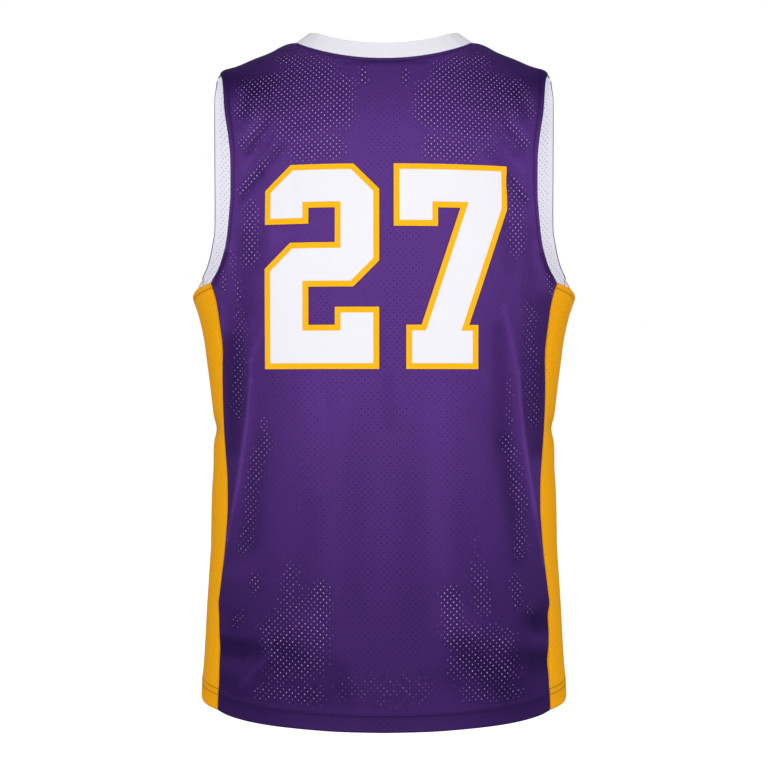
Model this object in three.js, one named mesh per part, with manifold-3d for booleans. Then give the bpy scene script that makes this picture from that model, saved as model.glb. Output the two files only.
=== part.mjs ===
// A sleeveless basketball jersey, worn shape, filled out with no wearer. Millimetres, +Z up.
// The wearer faces +Y, so the numbered back faces -Y and +X is the wearer's right.
// The origin is midway between the two shoulder seams, 4.6 mm below their neck-side ends.
import * as THREE from "three";
import Module from "manifold-3d";

// Driving sizes
const SEAM_GAP = 0.3;
const CLOTH = 1.6;
const COLLAR_CLOTH = 2.2;
const HEM_DEPTH = 24;
const HEM_LIFT = 0.5;
const ARMHOLE_BAND = 8;
const ARMHOLE_LIFT = 0.4;
const NECK_WELT = 6;
const NECK_LIFT = 0.5;
const WELT_RAMP = 1.5;

const SHOULDER_TIP = { x: 188.5, z: -31 };
const NECK_SIDE = { x: 101, z: 4.6 };
const BACK_NECK_DROP = 25;
const FRONT_NECK_DROP = 104;
const COLLAR_WIDTH = 22;
const COLLAR_PROUD = 0.2;
const SHOULDER_ROUNDING = 300;
const SECTION_POWER = 2.2;
const RIDGE_CLEARANCE = 1.5;

const HEM_SIDE_Z = -748.6;
const FRONT_SEAM_SHARE = 0.975;
const UNDERARM = { backZ: -274.3, frontZ: -266 };
const SEAM_LENGTH = UNDERARM.backZ - HEM_SIDE_Z;

// Plain colours of the cloth
const COLOURS = {
  purple: "#4b2a7f",
  gold: "#e3a017",
  white: "#ecebf1",
  twill_gold: "#fdb71a",
  twill_white: "#f3f2f7",
};

// Level sections of the worn form: half width at the sides, and depth behind and before the side line
const SECTIONS = [
  { z: 40, halfWidth: 200, back: 117, front: 108 },
  { z: -40, halfWidth: 204, back: 119, front: 113 },
  { z: -140, halfWidth: 210, back: 121, front: 120 },
  { z: -215, halfWidth: 214, back: 121, front: 124 },
  { z: -262, halfWidth: 218, back: 120, front: 126 },
  { z: -285, halfWidth: 219, back: 119, front: 126 },
  { z: -295, halfWidth: 217.1, back: 118, front: 126 },
  { z: -309, halfWidth: 212.5, back: 118, front: 125 },
  { z: -336, halfWidth: 206.4, back: 117, front: 124 },
  { z: -364, halfWidth: 202.6, back: 116, front: 123 },
  { z: -392, halfWidth: 199, back: 115, front: 122 },
  { z: -419, halfWidth: 196.2, back: 114, front: 120 },
  { z: -440, halfWidth: 195.4, back: 114, front: 119 },
  { z: -474, halfWidth: 195.4, back: 115, front: 119 },
  { z: -520, halfWidth: 197.6, back: 117, front: 118 },
  { z: -571, halfWidth: 198.5, back: 120, front: 117 },
  { z: -599, halfWidth: 200.2, back: 121, front: 116 },
  { z: -640, halfWidth: 202.8, back: 122, front: 116 },
  { z: -695, halfWidth: 205.8, back: 123, front: 117 },
  { z: -723, halfWidth: 207.9, back: 124, front: 118 },
  { z: -750, halfWidth: 209, back: 124, front: 118 },
  { z: -800, halfWidth: 211, back: 124, front: 119 },
];

// How far out from the centre line the back panel's side seam runs
const BACK_SEAM = [
  { z: -265, x: 198 },
  { z: -274.3, x: 194 },
  { z: -284.6, x: 190.2 },
  { z: -298, x: 186.7 },
  { z: -324.6, x: 183.4 },
  { z: -351, x: 181.4 },
  { z: -405, x: 181.2 },
  { z: -432, x: 180.5 },
  { z: -459, x: 178.4 },
  { z: -499, x: 175.3 },
  { z: -525, x: 174.9 },
  { z: -552, x: 176.7 },
  { z: -579, x: 179.2 },
  { z: -606, x: 182.6 },
  { z: -620, x: 184.4 },
  { z: -633, x: 185.9 },
  { z: -646, x: 184.9 },
  { z: -712, x: 184.3 },
  { z: -739, x: 185.2 },
  { z: -800, x: 187 },
];

// Armhole edges, from the shoulder tip down to the side panel
const BACK_ARMHOLE = [
  { z: -31, x: 188.5 },
  { z: -40.6, x: 184.6 },
  { z: -80, x: 180 },
  { z: -109, x: 174.8 },
  { z: -137, x: 171.6 },
  { z: -178, x: 170.8 },
  { z: -192, x: 171.6 },
  { z: -218.5, x: 173.8 },
  { z: -232, x: 175.6 },
  { z: -245, x: 179 },
  { z: -258, x: 183.6 },
  { z: -270, x: 190.8 },
  { z: -274.3, x: 194 },
];
const FRONT_ARMHOLE = [
  { z: -31, x: 188.5 },
  { z: -36, x: 191.2 },
  { z: -47, x: 194.2 },
  { z: -58, x: 196.1 },
  { z: -125, x: 197.9 },
  { z: -205, x: 199.2 },
  { z: -222, x: 201.6 },
  { z: -237, x: 204.4 },
  { z: -251, x: 208 },
  { z: -260, x: 211.4 },
  { z: -266, x: 213.5 },
];

// The shoulder line from the neck to the tip, and on past both ends
const SHOULDER_LINE = [
  { x: 0, z: 32 },
  { x: 37, z: 29 },
  { x: 64, z: 23.5 },
  { x: 81, z: 16.5 },
  { x: 91, z: 10 },
  { x: 97, z: 6.4 },
  { x: 101, z: 4.6 },
  { x: 106, z: 4.1 },
  { x: 110.5, z: 3.1 },
  { x: 119, z: -0.4 },
  { x: 128, z: -5.4 },
  { x: 137, z: -9.2 },
  { x: 147.5, z: -13.1 },
  { x: 169, z: -22 },
  { x: 183, z: -26.2 },
  { x: 188.5, z: -31 },
  { x: 192, z: -40 },
  { x: 205, z: -52 },
  { x: 225, z: -68 },
];

// The same line as the collar leans to it: straight on past the neck seam
const COLLAR_LEAN = [
  { x: 0, z: 32 },
  { x: 37, z: 29 },
  { x: 64, z: 23.5 },
  { x: 81, z: 17 },
  { x: 91, z: 11 },
  { x: 101, z: 4.6 },
  { x: 121, z: -8 },
];

// The hem's height round the body, by the angle from the middle of the back or front
const HEM_LINE = [
  { turn: 0, z: -763.7 },
  { turn: 13, z: -763 },
  { turn: 25, z: -761.2 },
  { turn: 39, z: -758.5 },
  { turn: 53.5, z: -753.6 },
  { turn: 60.5, z: -749.8 },
  { turn: 68, z: -748.2 },
  { turn: 75, z: -746.5 },
  { turn: 82, z: -744.3 },
  { turn: 90, z: -741.5 },
];

// The side panel's upper edge, under the arm, by the share of the way from the back to the front
const UNDERARM_LINE = [
  { share: 0, z: -274.3 },
  { share: 0.3, z: -280.6 },
  { share: 0.6, z: -287 },
  { share: 0.82, z: -281 },
  { share: 1, z: -266 },
];

// The largest folds. angle runs round the body from the middle of the back, 0, to the middle of
// the front, 180, and its sign is that of x. height is out of the cloth, so a trough is negative.
const FOLDS = [
  { name: "blade_ridge_left", angle0: -36, z0: -84, angle1: -47, z1: -120, width: 10, height: 2.6 },
  { name: "blade_trough_left", angle0: -33, z0: -100, angle1: -46, z1: -140, width: 10, height: -3.2 },
  { name: "blade_second_left", angle0: -35, z0: -150, angle1: -47, z1: -182, width: 9, height: -2.4 },
  { name: "blade_ridge_right", angle0: 37, z0: -86, angle1: 47, z1: -122, width: 10, height: 2.4 },
  { name: "blade_trough_right", angle0: 34, z0: -98, angle1: 46, z1: -138, width: 10, height: -3 },
  { name: "blade_second_right", angle0: 36, z0: -154, angle1: 47, z1: -192, width: 9, height: -2.2 },
  { name: "side_trough_left", angle0: -47, z0: -290, angle1: -56, z1: -470, width: 15, height: -4.5 },
  { name: "side_ridge_left", angle0: -43, z0: -345, angle1: -56, z1: -580, width: 9, height: 3 },
  { name: "side_trough_right", angle0: 47, z0: -285, angle1: 57, z1: -480, width: 15, height: -4.5 },
  { name: "side_ridge_right", angle0: 40, z0: -320, angle1: 58, z1: -560, width: 9, height: 3 },
  { name: "long_trough_right", angle0: 33, z0: -385, angle1: 49, z1: -570, width: 15, height: -3.2 },
  { name: "waist_crease_left", angle0: -62, z0: -432, angle1: -114, z1: -446, width: 12, height: -3.4 },
  { name: "waist_crease_right", angle0: 62, z0: -432, angle1: 114, z1: -446, width: 12, height: -3.4 },
  { name: "hip_ridge_left", angle0: -62, z0: -600, angle1: -38, z1: -588, width: 13, height: 3.2 },
  { name: "hip_trough_left", angle0: -64, z0: -678, angle1: -40, z1: -688, width: 13, height: -5 },
  { name: "hip_slant_left", angle0: -50, z0: -712, angle1: -34, z1: -655, width: 12, height: 3 },
  { name: "hip_trough_right", angle0: 64, z0: -630, angle1: 50, z1: -662, width: 13, height: -4.5 },
  { name: "low_trough_right", angle0: 64, z0: -692, angle1: 46, z1: -700, width: 12, height: -4 },
  { name: "hip_slant_right", angle0: 50, z0: -716, angle1: 34, z1: -650, width: 12, height: 3 },
  { name: "drape_far_left", angle0: -24, z0: -440, angle1: -26, z1: -700, width: 19, height: -2.6 },
  { name: "drape_left", angle0: -9, z0: -400, angle1: -10, z1: -690, width: 18, height: -2.2 },
  { name: "drape_right", angle0: 8, z0: -430, angle1: 10, z1: -720, width: 18, height: -2.4 },
  { name: "drape_far_right", angle0: 23, z0: -470, angle1: 27, z1: -690, width: 18, height: -2.2 },
  { name: "chest_drag_left", angle0: -146, z0: -120, angle1: -126, z1: -190, width: 13, height: -3.4 },
  { name: "chest_drag_right", angle0: 145, z0: -112, angle1: 125, z1: -180, width: 13, height: -3.2 },
  { name: "chest_fall_left", angle0: -124, z0: -290, angle1: -133, z1: -560, width: 16, height: -4.5 },
  { name: "chest_fall_right", angle0: 125, z0: -280, angle1: 135, z1: -590, width: 16, height: -4.5 },
  { name: "front_drape_left", angle0: -162, z0: -330, angle1: -158, z1: -690, width: 19, height: -3 },
  { name: "front_drape_mid", angle0: 177, z0: -390, angle1: 175, z1: -700, width: 20, height: -2.6 },
  { name: "front_drape_right", angle0: 160, z0: -350, angle1: 154, z1: -680, width: 19, height: -3 },
  { name: "front_hip_left", angle0: -118, z0: -640, angle1: -142, z1: -672, width: 14, height: -4.5 },
  { name: "front_hip_right", angle0: 118, z0: -652, angle1: 143, z1: -668, width: 14, height: -4.2 },
];
const FOLD_MM_PER_DEGREE = 3.5;
const FOLD_END_SHARE = 0.35;

// How finely the cloth is divided
const HALF_PANEL = 205;
const NECK_SHARE = NECK_SIDE.x / SHOULDER_TIP.x;
const NECK_COLUMNS = 7;
const NECK_CROWDING = 1.5;
const SHOULDER_COLUMNS = 5;
const LOWER_ROWS = 21;
const UPPER_ROWS = 14;
const SIDE_COLUMNS = 6;
const COLLAR_STEPS = 3;
const PATH_SAMPLES = 160;

// The number on the back, as plain block digits: sizes of the gold outline, and its place
const DIGIT = { height: 223.2, stroke: 48, chamfer: 28, border: 6.3, bottomZ: -370.7 };
const TWO = {
  left: -130, width: 124.8, midBarTop: 137.3, midBarBottom: 89.3, hookBottom: 157.7, footTop: 67.4,
};
const SEVEN = {
  left: 10.5, width: 124.2, hookBottom: 154.8, stemTop: 72.4, stemBottom: 30.2, footLeft: 13.6, footRight: 92,
};
const TWILL = 0.45;
const TWILL_LIFT = 0.5;
const TWILL_GAP = 0.3;
const CUT_THROUGH = { fromY: -170, toY: -50 };

// A smooth curve through a table's rows, read by one column: a cubic with limited slopes, so that
// it never overshoots.
function curveOf(rows, along, value) {
  const sorted = [...rows].sort((p, q) => p[along] - q[along]);
  const at = sorted.map((row) => row[along]);
  const to = sorted.map((row) => row[value]);
  const rise = at.slice(1).map((x, i) => (to[i + 1] - to[i]) / (x - at[i]));
  const slope = at.map((_, i) => {
    if (i === 0) return rise[0];
    if (i === at.length - 1) return rise[i - 1];
    if (rise[i - 1] * rise[i] <= 0) return 0;
    return (2 * rise[i - 1] * rise[i]) / (rise[i - 1] + rise[i]);
  });
  return (x) => {
    const inside = Math.min(Math.max(x, at[0]), at[at.length - 1]);
    let i = 0;
    while (i < at.length - 2 && inside > at[i + 1]) i += 1;
    const span = at[i + 1] - at[i];
    const t = (inside - at[i]) / span;
    const h00 = (1 + 2 * t) * (1 - t) ** 2;
    const h10 = t * (1 - t) ** 2;
    const h01 = t * t * (3 - 2 * t);
    const h11 = t * t * (t - 1);
    return h00 * to[i] + h10 * span * slope[i] + h01 * to[i + 1] + h11 * span * slope[i + 1];
  };
}

const halfWidthAt = curveOf(SECTIONS, "z", "halfWidth");
const backDepthAt = curveOf(SECTIONS, "z", "back");
const frontDepthAt = curveOf(SECTIONS, "z", "front");
const backSeamAt = curveOf(BACK_SEAM, "z", "x");
const backArmholeAt = curveOf(BACK_ARMHOLE, "z", "x");
const frontArmholeAt = curveOf(FRONT_ARMHOLE, "z", "x");
const shoulderLineAt = curveOf(SHOULDER_LINE, "x", "z");
const collarLeanAt = curveOf(COLLAR_LEAN, "x", "z");
const hemLineAt = curveOf(HEM_LINE, "turn", "z");
const underarmAt = curveOf(UNDERARM_LINE, "share", "z");

// The angle round the body of a point x out from the centre line, on the back or the front.
function angleOf(x, z, onBack) {
  const share = Math.min(Math.abs(x) / halfWidthAt(z), 1);
  const depth = (1 - share ** SECTION_POWER) ** (1 / SECTION_POWER);
  return (x < 0 ? -1 : 1) * Math.atan2(share, onBack ? depth : -depth);
}

// The share of its full depth that the form has, at a height under the line of its top.
function shoulderShare(x, z, topLineAt) {
  const below = Math.max(topLineAt(Math.abs(x)) - z, 0) / SHOULDER_ROUNDING;
  return below >= 1 ? 1 : Math.sqrt(1 - (1 - below) ** 2);
}

// A point of the worn form with no folds.
function barePoint(angle, z, topLineAt = shoulderLineAt) {
  const s = Math.sin(angle);
  const c = Math.cos(angle);
  const r = (Math.abs(s) ** SECTION_POWER + Math.abs(c) ** SECTION_POWER) ** (-1 / SECTION_POWER);
  const x = halfWidthAt(z) * r * s;
  const depth = c > 0 ? backDepthAt(z) : frontDepthAt(z);
  return new THREE.Vector3(x, -depth * r * c * shoulderShare(x, z, topLineAt), z);
}

// The direction out of the cloth. On the shoulder line, where back and front meet, it leans to neither.
function outwardAt(angle, height, topLineAt = shoulderLineAt) {
  const turn = 0.002;
  const step = 0.4;
  const below = Math.max(topLineAt(Math.abs(barePoint(angle, height).x)) - height, 0);
  const z = Math.min(height, height + below - RIDGE_CLEARANCE);
  const at = (toSide, down) => barePoint(angle + toSide, z - down, topLineAt);
  const across = at(turn, 0).sub(at(-turn, 0));
  const up = at(0, 0).sub(at(0, step));
  const outward = across.cross(up);
  outward.y *= Math.min(below / RIDGE_CLEARANCE, 1);
  return outward.normalize();
}

function smooth(t) {
  const inside = Math.min(Math.max(t, 0), 1);
  return inside * inside * (3 - 2 * inside);
}

// How far the folds lift the cloth off the bare form.
function foldHeight(angle, z) {
  const turn = THREE.MathUtils.radToDeg(angle);
  let height = 0;
  for (const fold of FOLDS) {
    const alongX = (fold.angle1 - fold.angle0) * FOLD_MM_PER_DEGREE;
    const alongZ = fold.z1 - fold.z0;
    const length = Math.hypot(alongX, alongZ);
    let away = turn - fold.angle0;
    if (away > 180) away -= 360;
    if (away < -180) away += 360;
    const fromX = away * FOLD_MM_PER_DEGREE;
    const fromZ = z - fold.z0;
    const share = (fromX * alongX + fromZ * alongZ) / length ** 2;
    const off = (fromX * alongZ - fromZ * alongX) / length;
    const taper = smooth(share / FOLD_END_SHARE) * smooth((1 - share) / FOLD_END_SHARE);
    height += fold.height * taper * Math.exp(-((off / fold.width) ** 2));
  }
  return height;
}

// A point of the cloth, lifted off the form by its folds and by lift.
function clothPoint(angle, z, lift) {
  return barePoint(angle, z).addScaledVector(outwardAt(angle, z), foldHeight(angle, z) + lift);
}

function hemAt(angle) {
  const turn = THREE.MathUtils.radToDeg(Math.abs(angle));
  return hemLineAt(turn > 90 ? 180 - turn : turn);
}

function neckSeamAt(x, onBack) {
  const share = Math.min(Math.abs(x) / NECK_SIDE.x, 1);
  const drop = NECK_SIDE.z + (onBack ? BACK_NECK_DROP : FRONT_NECK_DROP);
  const bowl = onBack ? (1 - share ** 2) ** 0.72 : (1 - share ** 2.3) ** 0.8;
  return NECK_SIDE.z - drop * bowl;
}

// How far a band along an edge stands out, away from that edge.
function bandLift(distance, depth, lift) {
  return lift * (1 - smooth((distance - depth) / WELT_RAMP));
}

// A closed wall from rows of outer points and the inner points behind them. A looped wall joins its
// last column to its first. Quads are split alike on the left and right, and on both sides of a seam.
function wallGeometry(outer, inner, looped = false) {
  const rows = outer.length;
  const columns = outer[0].length;
  const positions = [];
  for (const p of [outer, inner].flat(2)) positions.push(p.x, p.y, p.z);
  const outerAt = (j, i) => j * columns + (i % columns);
  const innerAt = (j, i) => rows * columns + outerAt(j, i);
  const faces = [];
  const xOf = (k) => positions[k * 3];
  const split = (a, b, c, d, alongAC) => faces.push(...(alongAC ? [a, b, c, a, c, d] : [b, c, d, b, d, a]));
  const surface = (a, b, c, d) => split(a, b, c, d, xOf(a) + xOf(c) < 0);
  const lastColumn = looped ? columns : columns - 1;
  for (let i = 0; i < lastColumn; i += 1) {
    for (let j = 0; j < rows - 1; j += 1) {
      surface(outerAt(j, i), outerAt(j, i + 1), outerAt(j + 1, i + 1), outerAt(j + 1, i));
      surface(innerAt(j, i), innerAt(j + 1, i), innerAt(j + 1, i + 1), innerAt(j, i + 1));
    }
    for (const j of [0, rows - 1]) {
      const edge = [outerAt(j, i), innerAt(j, i), innerAt(j, i + 1), outerAt(j, i + 1)];
      const [a, b, c, d] = j === 0 ? edge : [edge[0], edge[3], edge[2], edge[1]];
      split(a, b, c, d, Math.abs(xOf(outerAt(j, i))) < Math.abs(xOf(outerAt(j, i + 1))));
    }
  }
  for (let j = 0; j < rows - 1 && !looped; j += 1) {
    split(outerAt(j, 0), outerAt(j + 1, 0), innerAt(j + 1, 0), innerAt(j, 0), true);
    const end = columns - 1;
    split(outerAt(j, end), innerAt(j, end), innerAt(j + 1, end), outerAt(j + 1, end), true);
  }
  const corner = (k) => new THREE.Vector3().fromArray(positions, faces[k] * 3);
  let volume = 0;
  for (let k = 0; k < faces.length; k += 3) volume += corner(k).dot(corner(k + 1).cross(corner(k + 2)));
  if (volume < 0) faces.reverse();
  const geometry = new THREE.BufferGeometry();
  geometry.setAttribute("position", new THREE.Float32BufferAttribute(positions, 3));
  geometry.setIndex(faces);
  return geometry;
}

// Shares of a path at even steps, with two more rows where a band along its start or end stops.
function sharesWithBands(steps, length, startBand, endBand) {
  const first = startBand ? (startBand + WELT_RAMP) / length : 0;
  const last = endBand ? 1 - (endBand + WELT_RAMP) / length : 1;
  const shares = startBand ? [0, startBand / length] : [];
  for (let k = 0; k <= steps; k += 1) shares.push(first + ((last - first) * k) / steps);
  if (endBand) shares.push(1 - endBand / length, 1);
  return shares;
}

// Points of a path at shares of its length, where at(t) gives the path's {angle, z}.
function alongPath(at, shares) {
  const places = [];
  const lengths = [0];
  for (let k = 0; k <= PATH_SAMPLES; k += 1) {
    const place = at(k / PATH_SAMPLES);
    place.point = barePoint(place.angle, place.z);
    if (k) lengths.push(lengths[k - 1] + place.point.distanceTo(places[k - 1].point));
    places.push(place);
  }
  const total = lengths[PATH_SAMPLES];
  return shares.map((share) => {
    let k = 1;
    while (k < PATH_SAMPLES && lengths[k] < share * total) k += 1;
    const part = (share * total - lengths[k - 1]) / (lengths[k] - lengths[k - 1]);
    return { ...at((k - 1 + part) / PATH_SAMPLES), fromStart: share * total, fromEnd: (1 - share) * total };
  });
}

// Where a front or back panel's columns run, as shares of its half width: closer towards the neck's
// side, even from there to the armhole band, then the band.
function columnShares() {
  const bandShare = 1 - ARMHOLE_BAND / HALF_PANEL;
  const rampShare = bandShare - WELT_RAMP / HALF_PANEL;
  const half = [];
  for (let k = 0; k < NECK_COLUMNS; k += 1) {
    half.push(NECK_SHARE * (1 - (1 - k / NECK_COLUMNS) ** NECK_CROWDING));
  }
  for (let k = 0; k <= SHOULDER_COLUMNS; k += 1) {
    half.push(NECK_SHARE + ((rampShare - NECK_SHARE) * k) / SHOULDER_COLUMNS);
  }
  half.push(bandShare, 1);
  return [...half.slice(1).reverse().map((u) => -u), ...half];
}
const COLUMNS = columnShares();

// A front or back panel's edge below the armhole, trimmed by half the seam gap.
function seamAngle(z, onBack) {
  const x = onBack ? backSeamAt(z) : FRONT_SEAM_SHARE * halfWidthAt(z);
  return angleOf(x, z, onBack);
}

function trimmed(angle, z, onBack, away) {
  const perRadian = barePoint(angle + 0.001, z).distanceTo(barePoint(angle, z)) / 0.001;
  const trim = (SEAM_GAP / 2 / perRadian) * (onBack ? -1 : 1);
  return angle + trim * away;
}

// Where the panel's column u runs: from the hem to the underarm's height, then on to the shoulder or neck.
function panelColumn(u, onBack) {
  const middle = onBack ? 0 : Math.PI;
  const underarmZ = onBack ? UNDERARM.backZ : UNDERARM.frontZ;
  const armholeAt = onBack ? backArmholeAt : frontArmholeAt;
  const fromMiddle = (edge) => edge - middle;
  const side = u < 0 ? -1 : 1;
  const share = Math.abs(u);
  const lower = (t) => {
    const atHem = hemAt(middle + fromMiddle(seamAngle(HEM_SIDE_Z, onBack)) * share);
    const z = atHem + (underarmZ - atHem) * t;
    const edge = trimmed(seamAngle(z, onBack), z, onBack, 1);
    return { angle: side * (middle + fromMiddle(edge) * share), z };
  };
  const topX = share * SHOULDER_TIP.x;
  const inNeck = topX < NECK_SIDE.x - 1e-6;
  const topZ = inNeck ? neckSeamAt(topX, onBack) : shoulderLineAt(topX);
  const topAngle = fromMiddle(angleOf(topX, topZ, onBack));
  const tipAngle = fromMiddle(angleOf(SHOULDER_TIP.x, SHOULDER_TIP.z, onBack));
  const upper = (t) => {
    const rise = 1 - (1 - t) ** 2;
    const z = underarmZ + (topZ - underarmZ) * rise;
    const edgeZ = underarmZ + (SHOULDER_TIP.z - underarmZ) * rise;
    const edge = fromMiddle(angleOf(armholeAt(edgeZ), edgeZ, onBack));
    const toTop = (topAngle - share * tipAngle) * rise ** 3;
    return { angle: side * (middle + edge * share + toTop), z };
  };
  return { lower, upper, inNeck };
}

// Where the rows and columns of a front or back panel lie, and how far its bands lift them.
function panelGrid(onBack) {
  const columns = COLUMNS.map((u) => {
    const { lower, upper, inNeck } = panelColumn(u, onBack);
    const low = alongPath(lower, sharesWithBands(LOWER_ROWS, SEAM_LENGTH, HEM_DEPTH, ARMHOLE_BAND));
    const high = alongPath(upper, sharesWithBands(UPPER_ROWS, -UNDERARM.backZ, 0, NECK_WELT)).slice(1);
    const edgeDistance = (1 - Math.abs(u)) * HALF_PANEL;
    const belowArmhole = low.map((p) => ({ ...p, lift: bandLift(p.fromStart, HEM_DEPTH, HEM_LIFT) }));
    const besideArmhole = high.map((p) => {
      const neck = inNeck ? bandLift(p.fromEnd, NECK_WELT, NECK_LIFT) : 0;
      return { ...p, lift: Math.max(neck, bandLift(edgeDistance, ARMHOLE_BAND, ARMHOLE_LIFT)) };
    });
    return [...belowArmhole, ...besideArmhole];
  });
  return columns[0].map((_, j) => columns.map((column) => column[j]));
}

function frontOrBackPanel(onBack) {
  const keepOwnSide = (p) => {
    p.y = onBack ? Math.min(p.y, -SEAM_GAP / 2) : Math.max(p.y, SEAM_GAP / 2);
    return p;
  };
  const grid = panelGrid(onBack);
  const outer = grid.map((row) => row.map((p) => keepOwnSide(clothPoint(p.angle, p.z, p.lift))));
  const inner = grid.map((row) => row.map((p) => keepOwnSide(clothPoint(p.angle, p.z, -CLOTH))));
  return wallGeometry(outer, inner);
}

// The gold panel under each armhole, from the hem to the armhole's lowest edge.
function sidePanel(side) {
  const columns = [];
  for (let i = 0; i <= SIDE_COLUMNS; i += 1) {
    const across = i / SIDE_COLUMNS;
    const angleAt = (z) => {
      const back = trimmed(seamAngle(z, true), z, true, -1);
      const front = trimmed(seamAngle(z, false), z, false, -1);
      return back + (front - back) * across;
    };
    const hem = hemAt(angleAt(HEM_SIDE_Z));
    const path = (t) => {
      const z = hem + (underarmAt(across) - hem) * t;
      return { angle: side * angleAt(z), z };
    };
    const places = alongPath(path, sharesWithBands(LOWER_ROWS, SEAM_LENGTH, HEM_DEPTH, ARMHOLE_BAND));
    columns.push(
      places.map((p) => {
        const hemLift = bandLift(p.fromStart, HEM_DEPTH, HEM_LIFT);
        const armholeLift = bandLift(p.fromEnd, ARMHOLE_BAND, ARMHOLE_LIFT);
        return { ...p, lift: Math.max(hemLift, armholeLift) };
      }),
    );
  }
  const grid = columns[0].map((_, j) => columns.map((column) => column[j]));
  const outer = grid.map((row) => row.map((p) => clothPoint(p.angle, p.z, p.lift)));
  const inner = grid.map((row) => row.map((p) => clothPoint(p.angle, p.z, -CLOTH)));
  return wallGeometry(outer, inner);
}

// The collar band: a ring that carries the cloth on past the neck seam, towards the neck.
function collarGeometry() {
  const neckColumns = COLUMNS.filter((u) => Math.abs(u) < NECK_SHARE - 1e-6);
  const stations = [
    ...neckColumns.map((u) => ({ x: u * SHOULDER_TIP.x, onBack: true })),
    { x: NECK_SIDE.x, corner: true },
    ...[...neckColumns].reverse().map((u) => ({ x: u * SHOULDER_TIP.x, onBack: false })),
    { x: -NECK_SIDE.x, corner: true },
  ];
  const seam = stations.map(({ x, onBack, corner = false }) => {
    const z = corner ? NECK_SIDE.z : neckSeamAt(x, onBack);
    const angle = angleOf(x, z, onBack || corner);
    return { angle, z, corner, point: barePoint(angle, z) };
  });
  const count = seam.length;
  const rows = { outer: [], inner: [] };
  for (let step = 0; step <= COLLAR_STEPS; step += 1) {
    const reach = SEAM_GAP + ((COLLAR_WIDTH - SEAM_GAP) * step) / COLLAR_STEPS;
    const outerRow = [];
    const innerRow = [];
    seam.forEach((place, k) => {
      const onward = seam[(k + 1) % count].point.clone().sub(seam[(k - 1 + count) % count].point);
      const outward = outwardAt(place.angle, place.z, collarLeanAt);
      const inward = outward.clone().cross(onward).normalize();
      const middle = place.point.clone().addScaledVector(inward, reach);
      outerRow.push(middle.clone().addScaledVector(outward, COLLAR_PROUD));
      innerRow.push(middle.clone().addScaledVector(outward, COLLAR_PROUD - COLLAR_CLOTH));
    });
    rows.outer.push(outerRow);
    rows.inner.push(innerRow);
  }
  return wallGeometry(rows.outer, rows.inner, true);
}

// Outlines of the two digits, from the lower left corner of each
function twoOutline() {
  const { height: h, stroke: s, chamfer: c } = DIGIT;
  const { width: w, midBarTop, midBarBottom, hookBottom, footTop } = TWO;
  return [
    [0, 0], [w, 0], [w, footTop], [w - s, footTop], [w - s, s], [s, s], [s, midBarBottom],
    [w - c, midBarBottom], [w, midBarBottom + c], [w, h - c], [w - c, h], [c, h], [0, h - c],
    [0, hookBottom], [s, hookBottom], [s, h - s], [w - s, h - s], [w - s, midBarTop],
    [c, midBarTop], [0, midBarTop - c],
  ];
}

function sevenOutline() {
  const { height: h, stroke: s } = DIGIT;
  const { width: w, hookBottom, stemTop, stemBottom, footLeft, footRight } = SEVEN;
  return [
    [footLeft, 0], [footRight, 0], [footRight, s], [w - (stemTop - stemBottom), s], [w, h - s], [w, h],
    [0, h], [0, hookBottom], [s, hookBottom], [s, h - s], [stemTop, h - s], [stemBottom, s], [footLeft, s],
  ];
}

// The same outline with every edge moved in, for the white face inside the gold border.
function inset(outline, by) {
  const count = outline.length;
  const lines = outline.map((p, k) => {
    const q = outline[(k + 1) % count];
    const length = Math.hypot(q[0] - p[0], q[1] - p[1]);
    const along = [(q[0] - p[0]) / length, (q[1] - p[1]) / length];
    return { from: [p[0] - along[1] * by, p[1] + along[0] * by], along };
  });
  return lines.map((line, k) => {
    const before = lines[(k - 1 + count) % count];
    const across = before.along[0] * line.along[1] - before.along[1] * line.along[0];
    const dx = line.from[0] - before.from[0];
    const dy = line.from[1] - before.from[1];
    const t = (dx * line.along[1] - dy * line.along[0]) / across;
    return [before.from[0] + before.along[0] * t, before.from[1] + before.along[1] * t];
  });
}

const wasm = await Module();
wasm.setup();

function solidOf(geometry) {
  const triVerts = new Uint32Array(geometry.index.array);
  const vertProperties = new Float32Array(geometry.getAttribute("position").array);
  const mesh = new wasm.Mesh({ numProp: 3, vertProperties, triVerts });
  return new wasm.Manifold(mesh);
}

function geometryOf(solid) {
  const mesh = solid.getMesh();
  const geometry = new THREE.BufferGeometry();
  geometry.setAttribute("position", new THREE.BufferAttribute(mesh.vertProperties.slice(), 3));
  geometry.setIndex(new THREE.BufferAttribute(mesh.triVerts.slice(), 1));
  return geometry;
}

// A block of the outline's shape, straight through the back of the jersey.
function outlineBlock(outline, left) {
  const { fromY, toY } = CUT_THROUGH;
  const shape = outline.map(([x, z]) => [x + left, z + DIGIT.bottomZ]);
  const ears = THREE.ShapeUtils.triangulateShape(shape.map(([x, z]) => new THREE.Vector2(x, z)), []);
  const positions = [];
  for (const y of [fromY, toY]) for (const [x, z] of shape) positions.push(x, y, z);
  const count = shape.length;
  const faces = [];
  for (const [a, b, c] of ears) faces.push(a, b, c, a + count, c + count, b + count);
  for (let k = 0; k < count; k += 1) {
    const next = (k + 1) % count;
    faces.push(k, k + count, next, next, k + count, next + count);
  }
  const geometry = new THREE.BufferGeometry();
  geometry.setAttribute("position", new THREE.Float32BufferAttribute(positions, 3));
  geometry.setIndex(faces);
  return geometry;
}

// A layer of twill cut to the outline. It follows the back panel's own points, moved out by lift.
function twillGeometry(outline, left, lift) {
  const layerAt = (height) => BACK_GRID.map((row) => row.map((p) => clothPoint(p.angle, p.z, height)));
  const layer = solidOf(wallGeometry(layerAt(lift + TWILL), layerAt(lift)));
  return geometryOf(layer.intersect(solidOf(outlineBlock(outline, left))));
}
const BACK_GRID = panelGrid(true);

const jersey = new THREE.Group();

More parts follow.
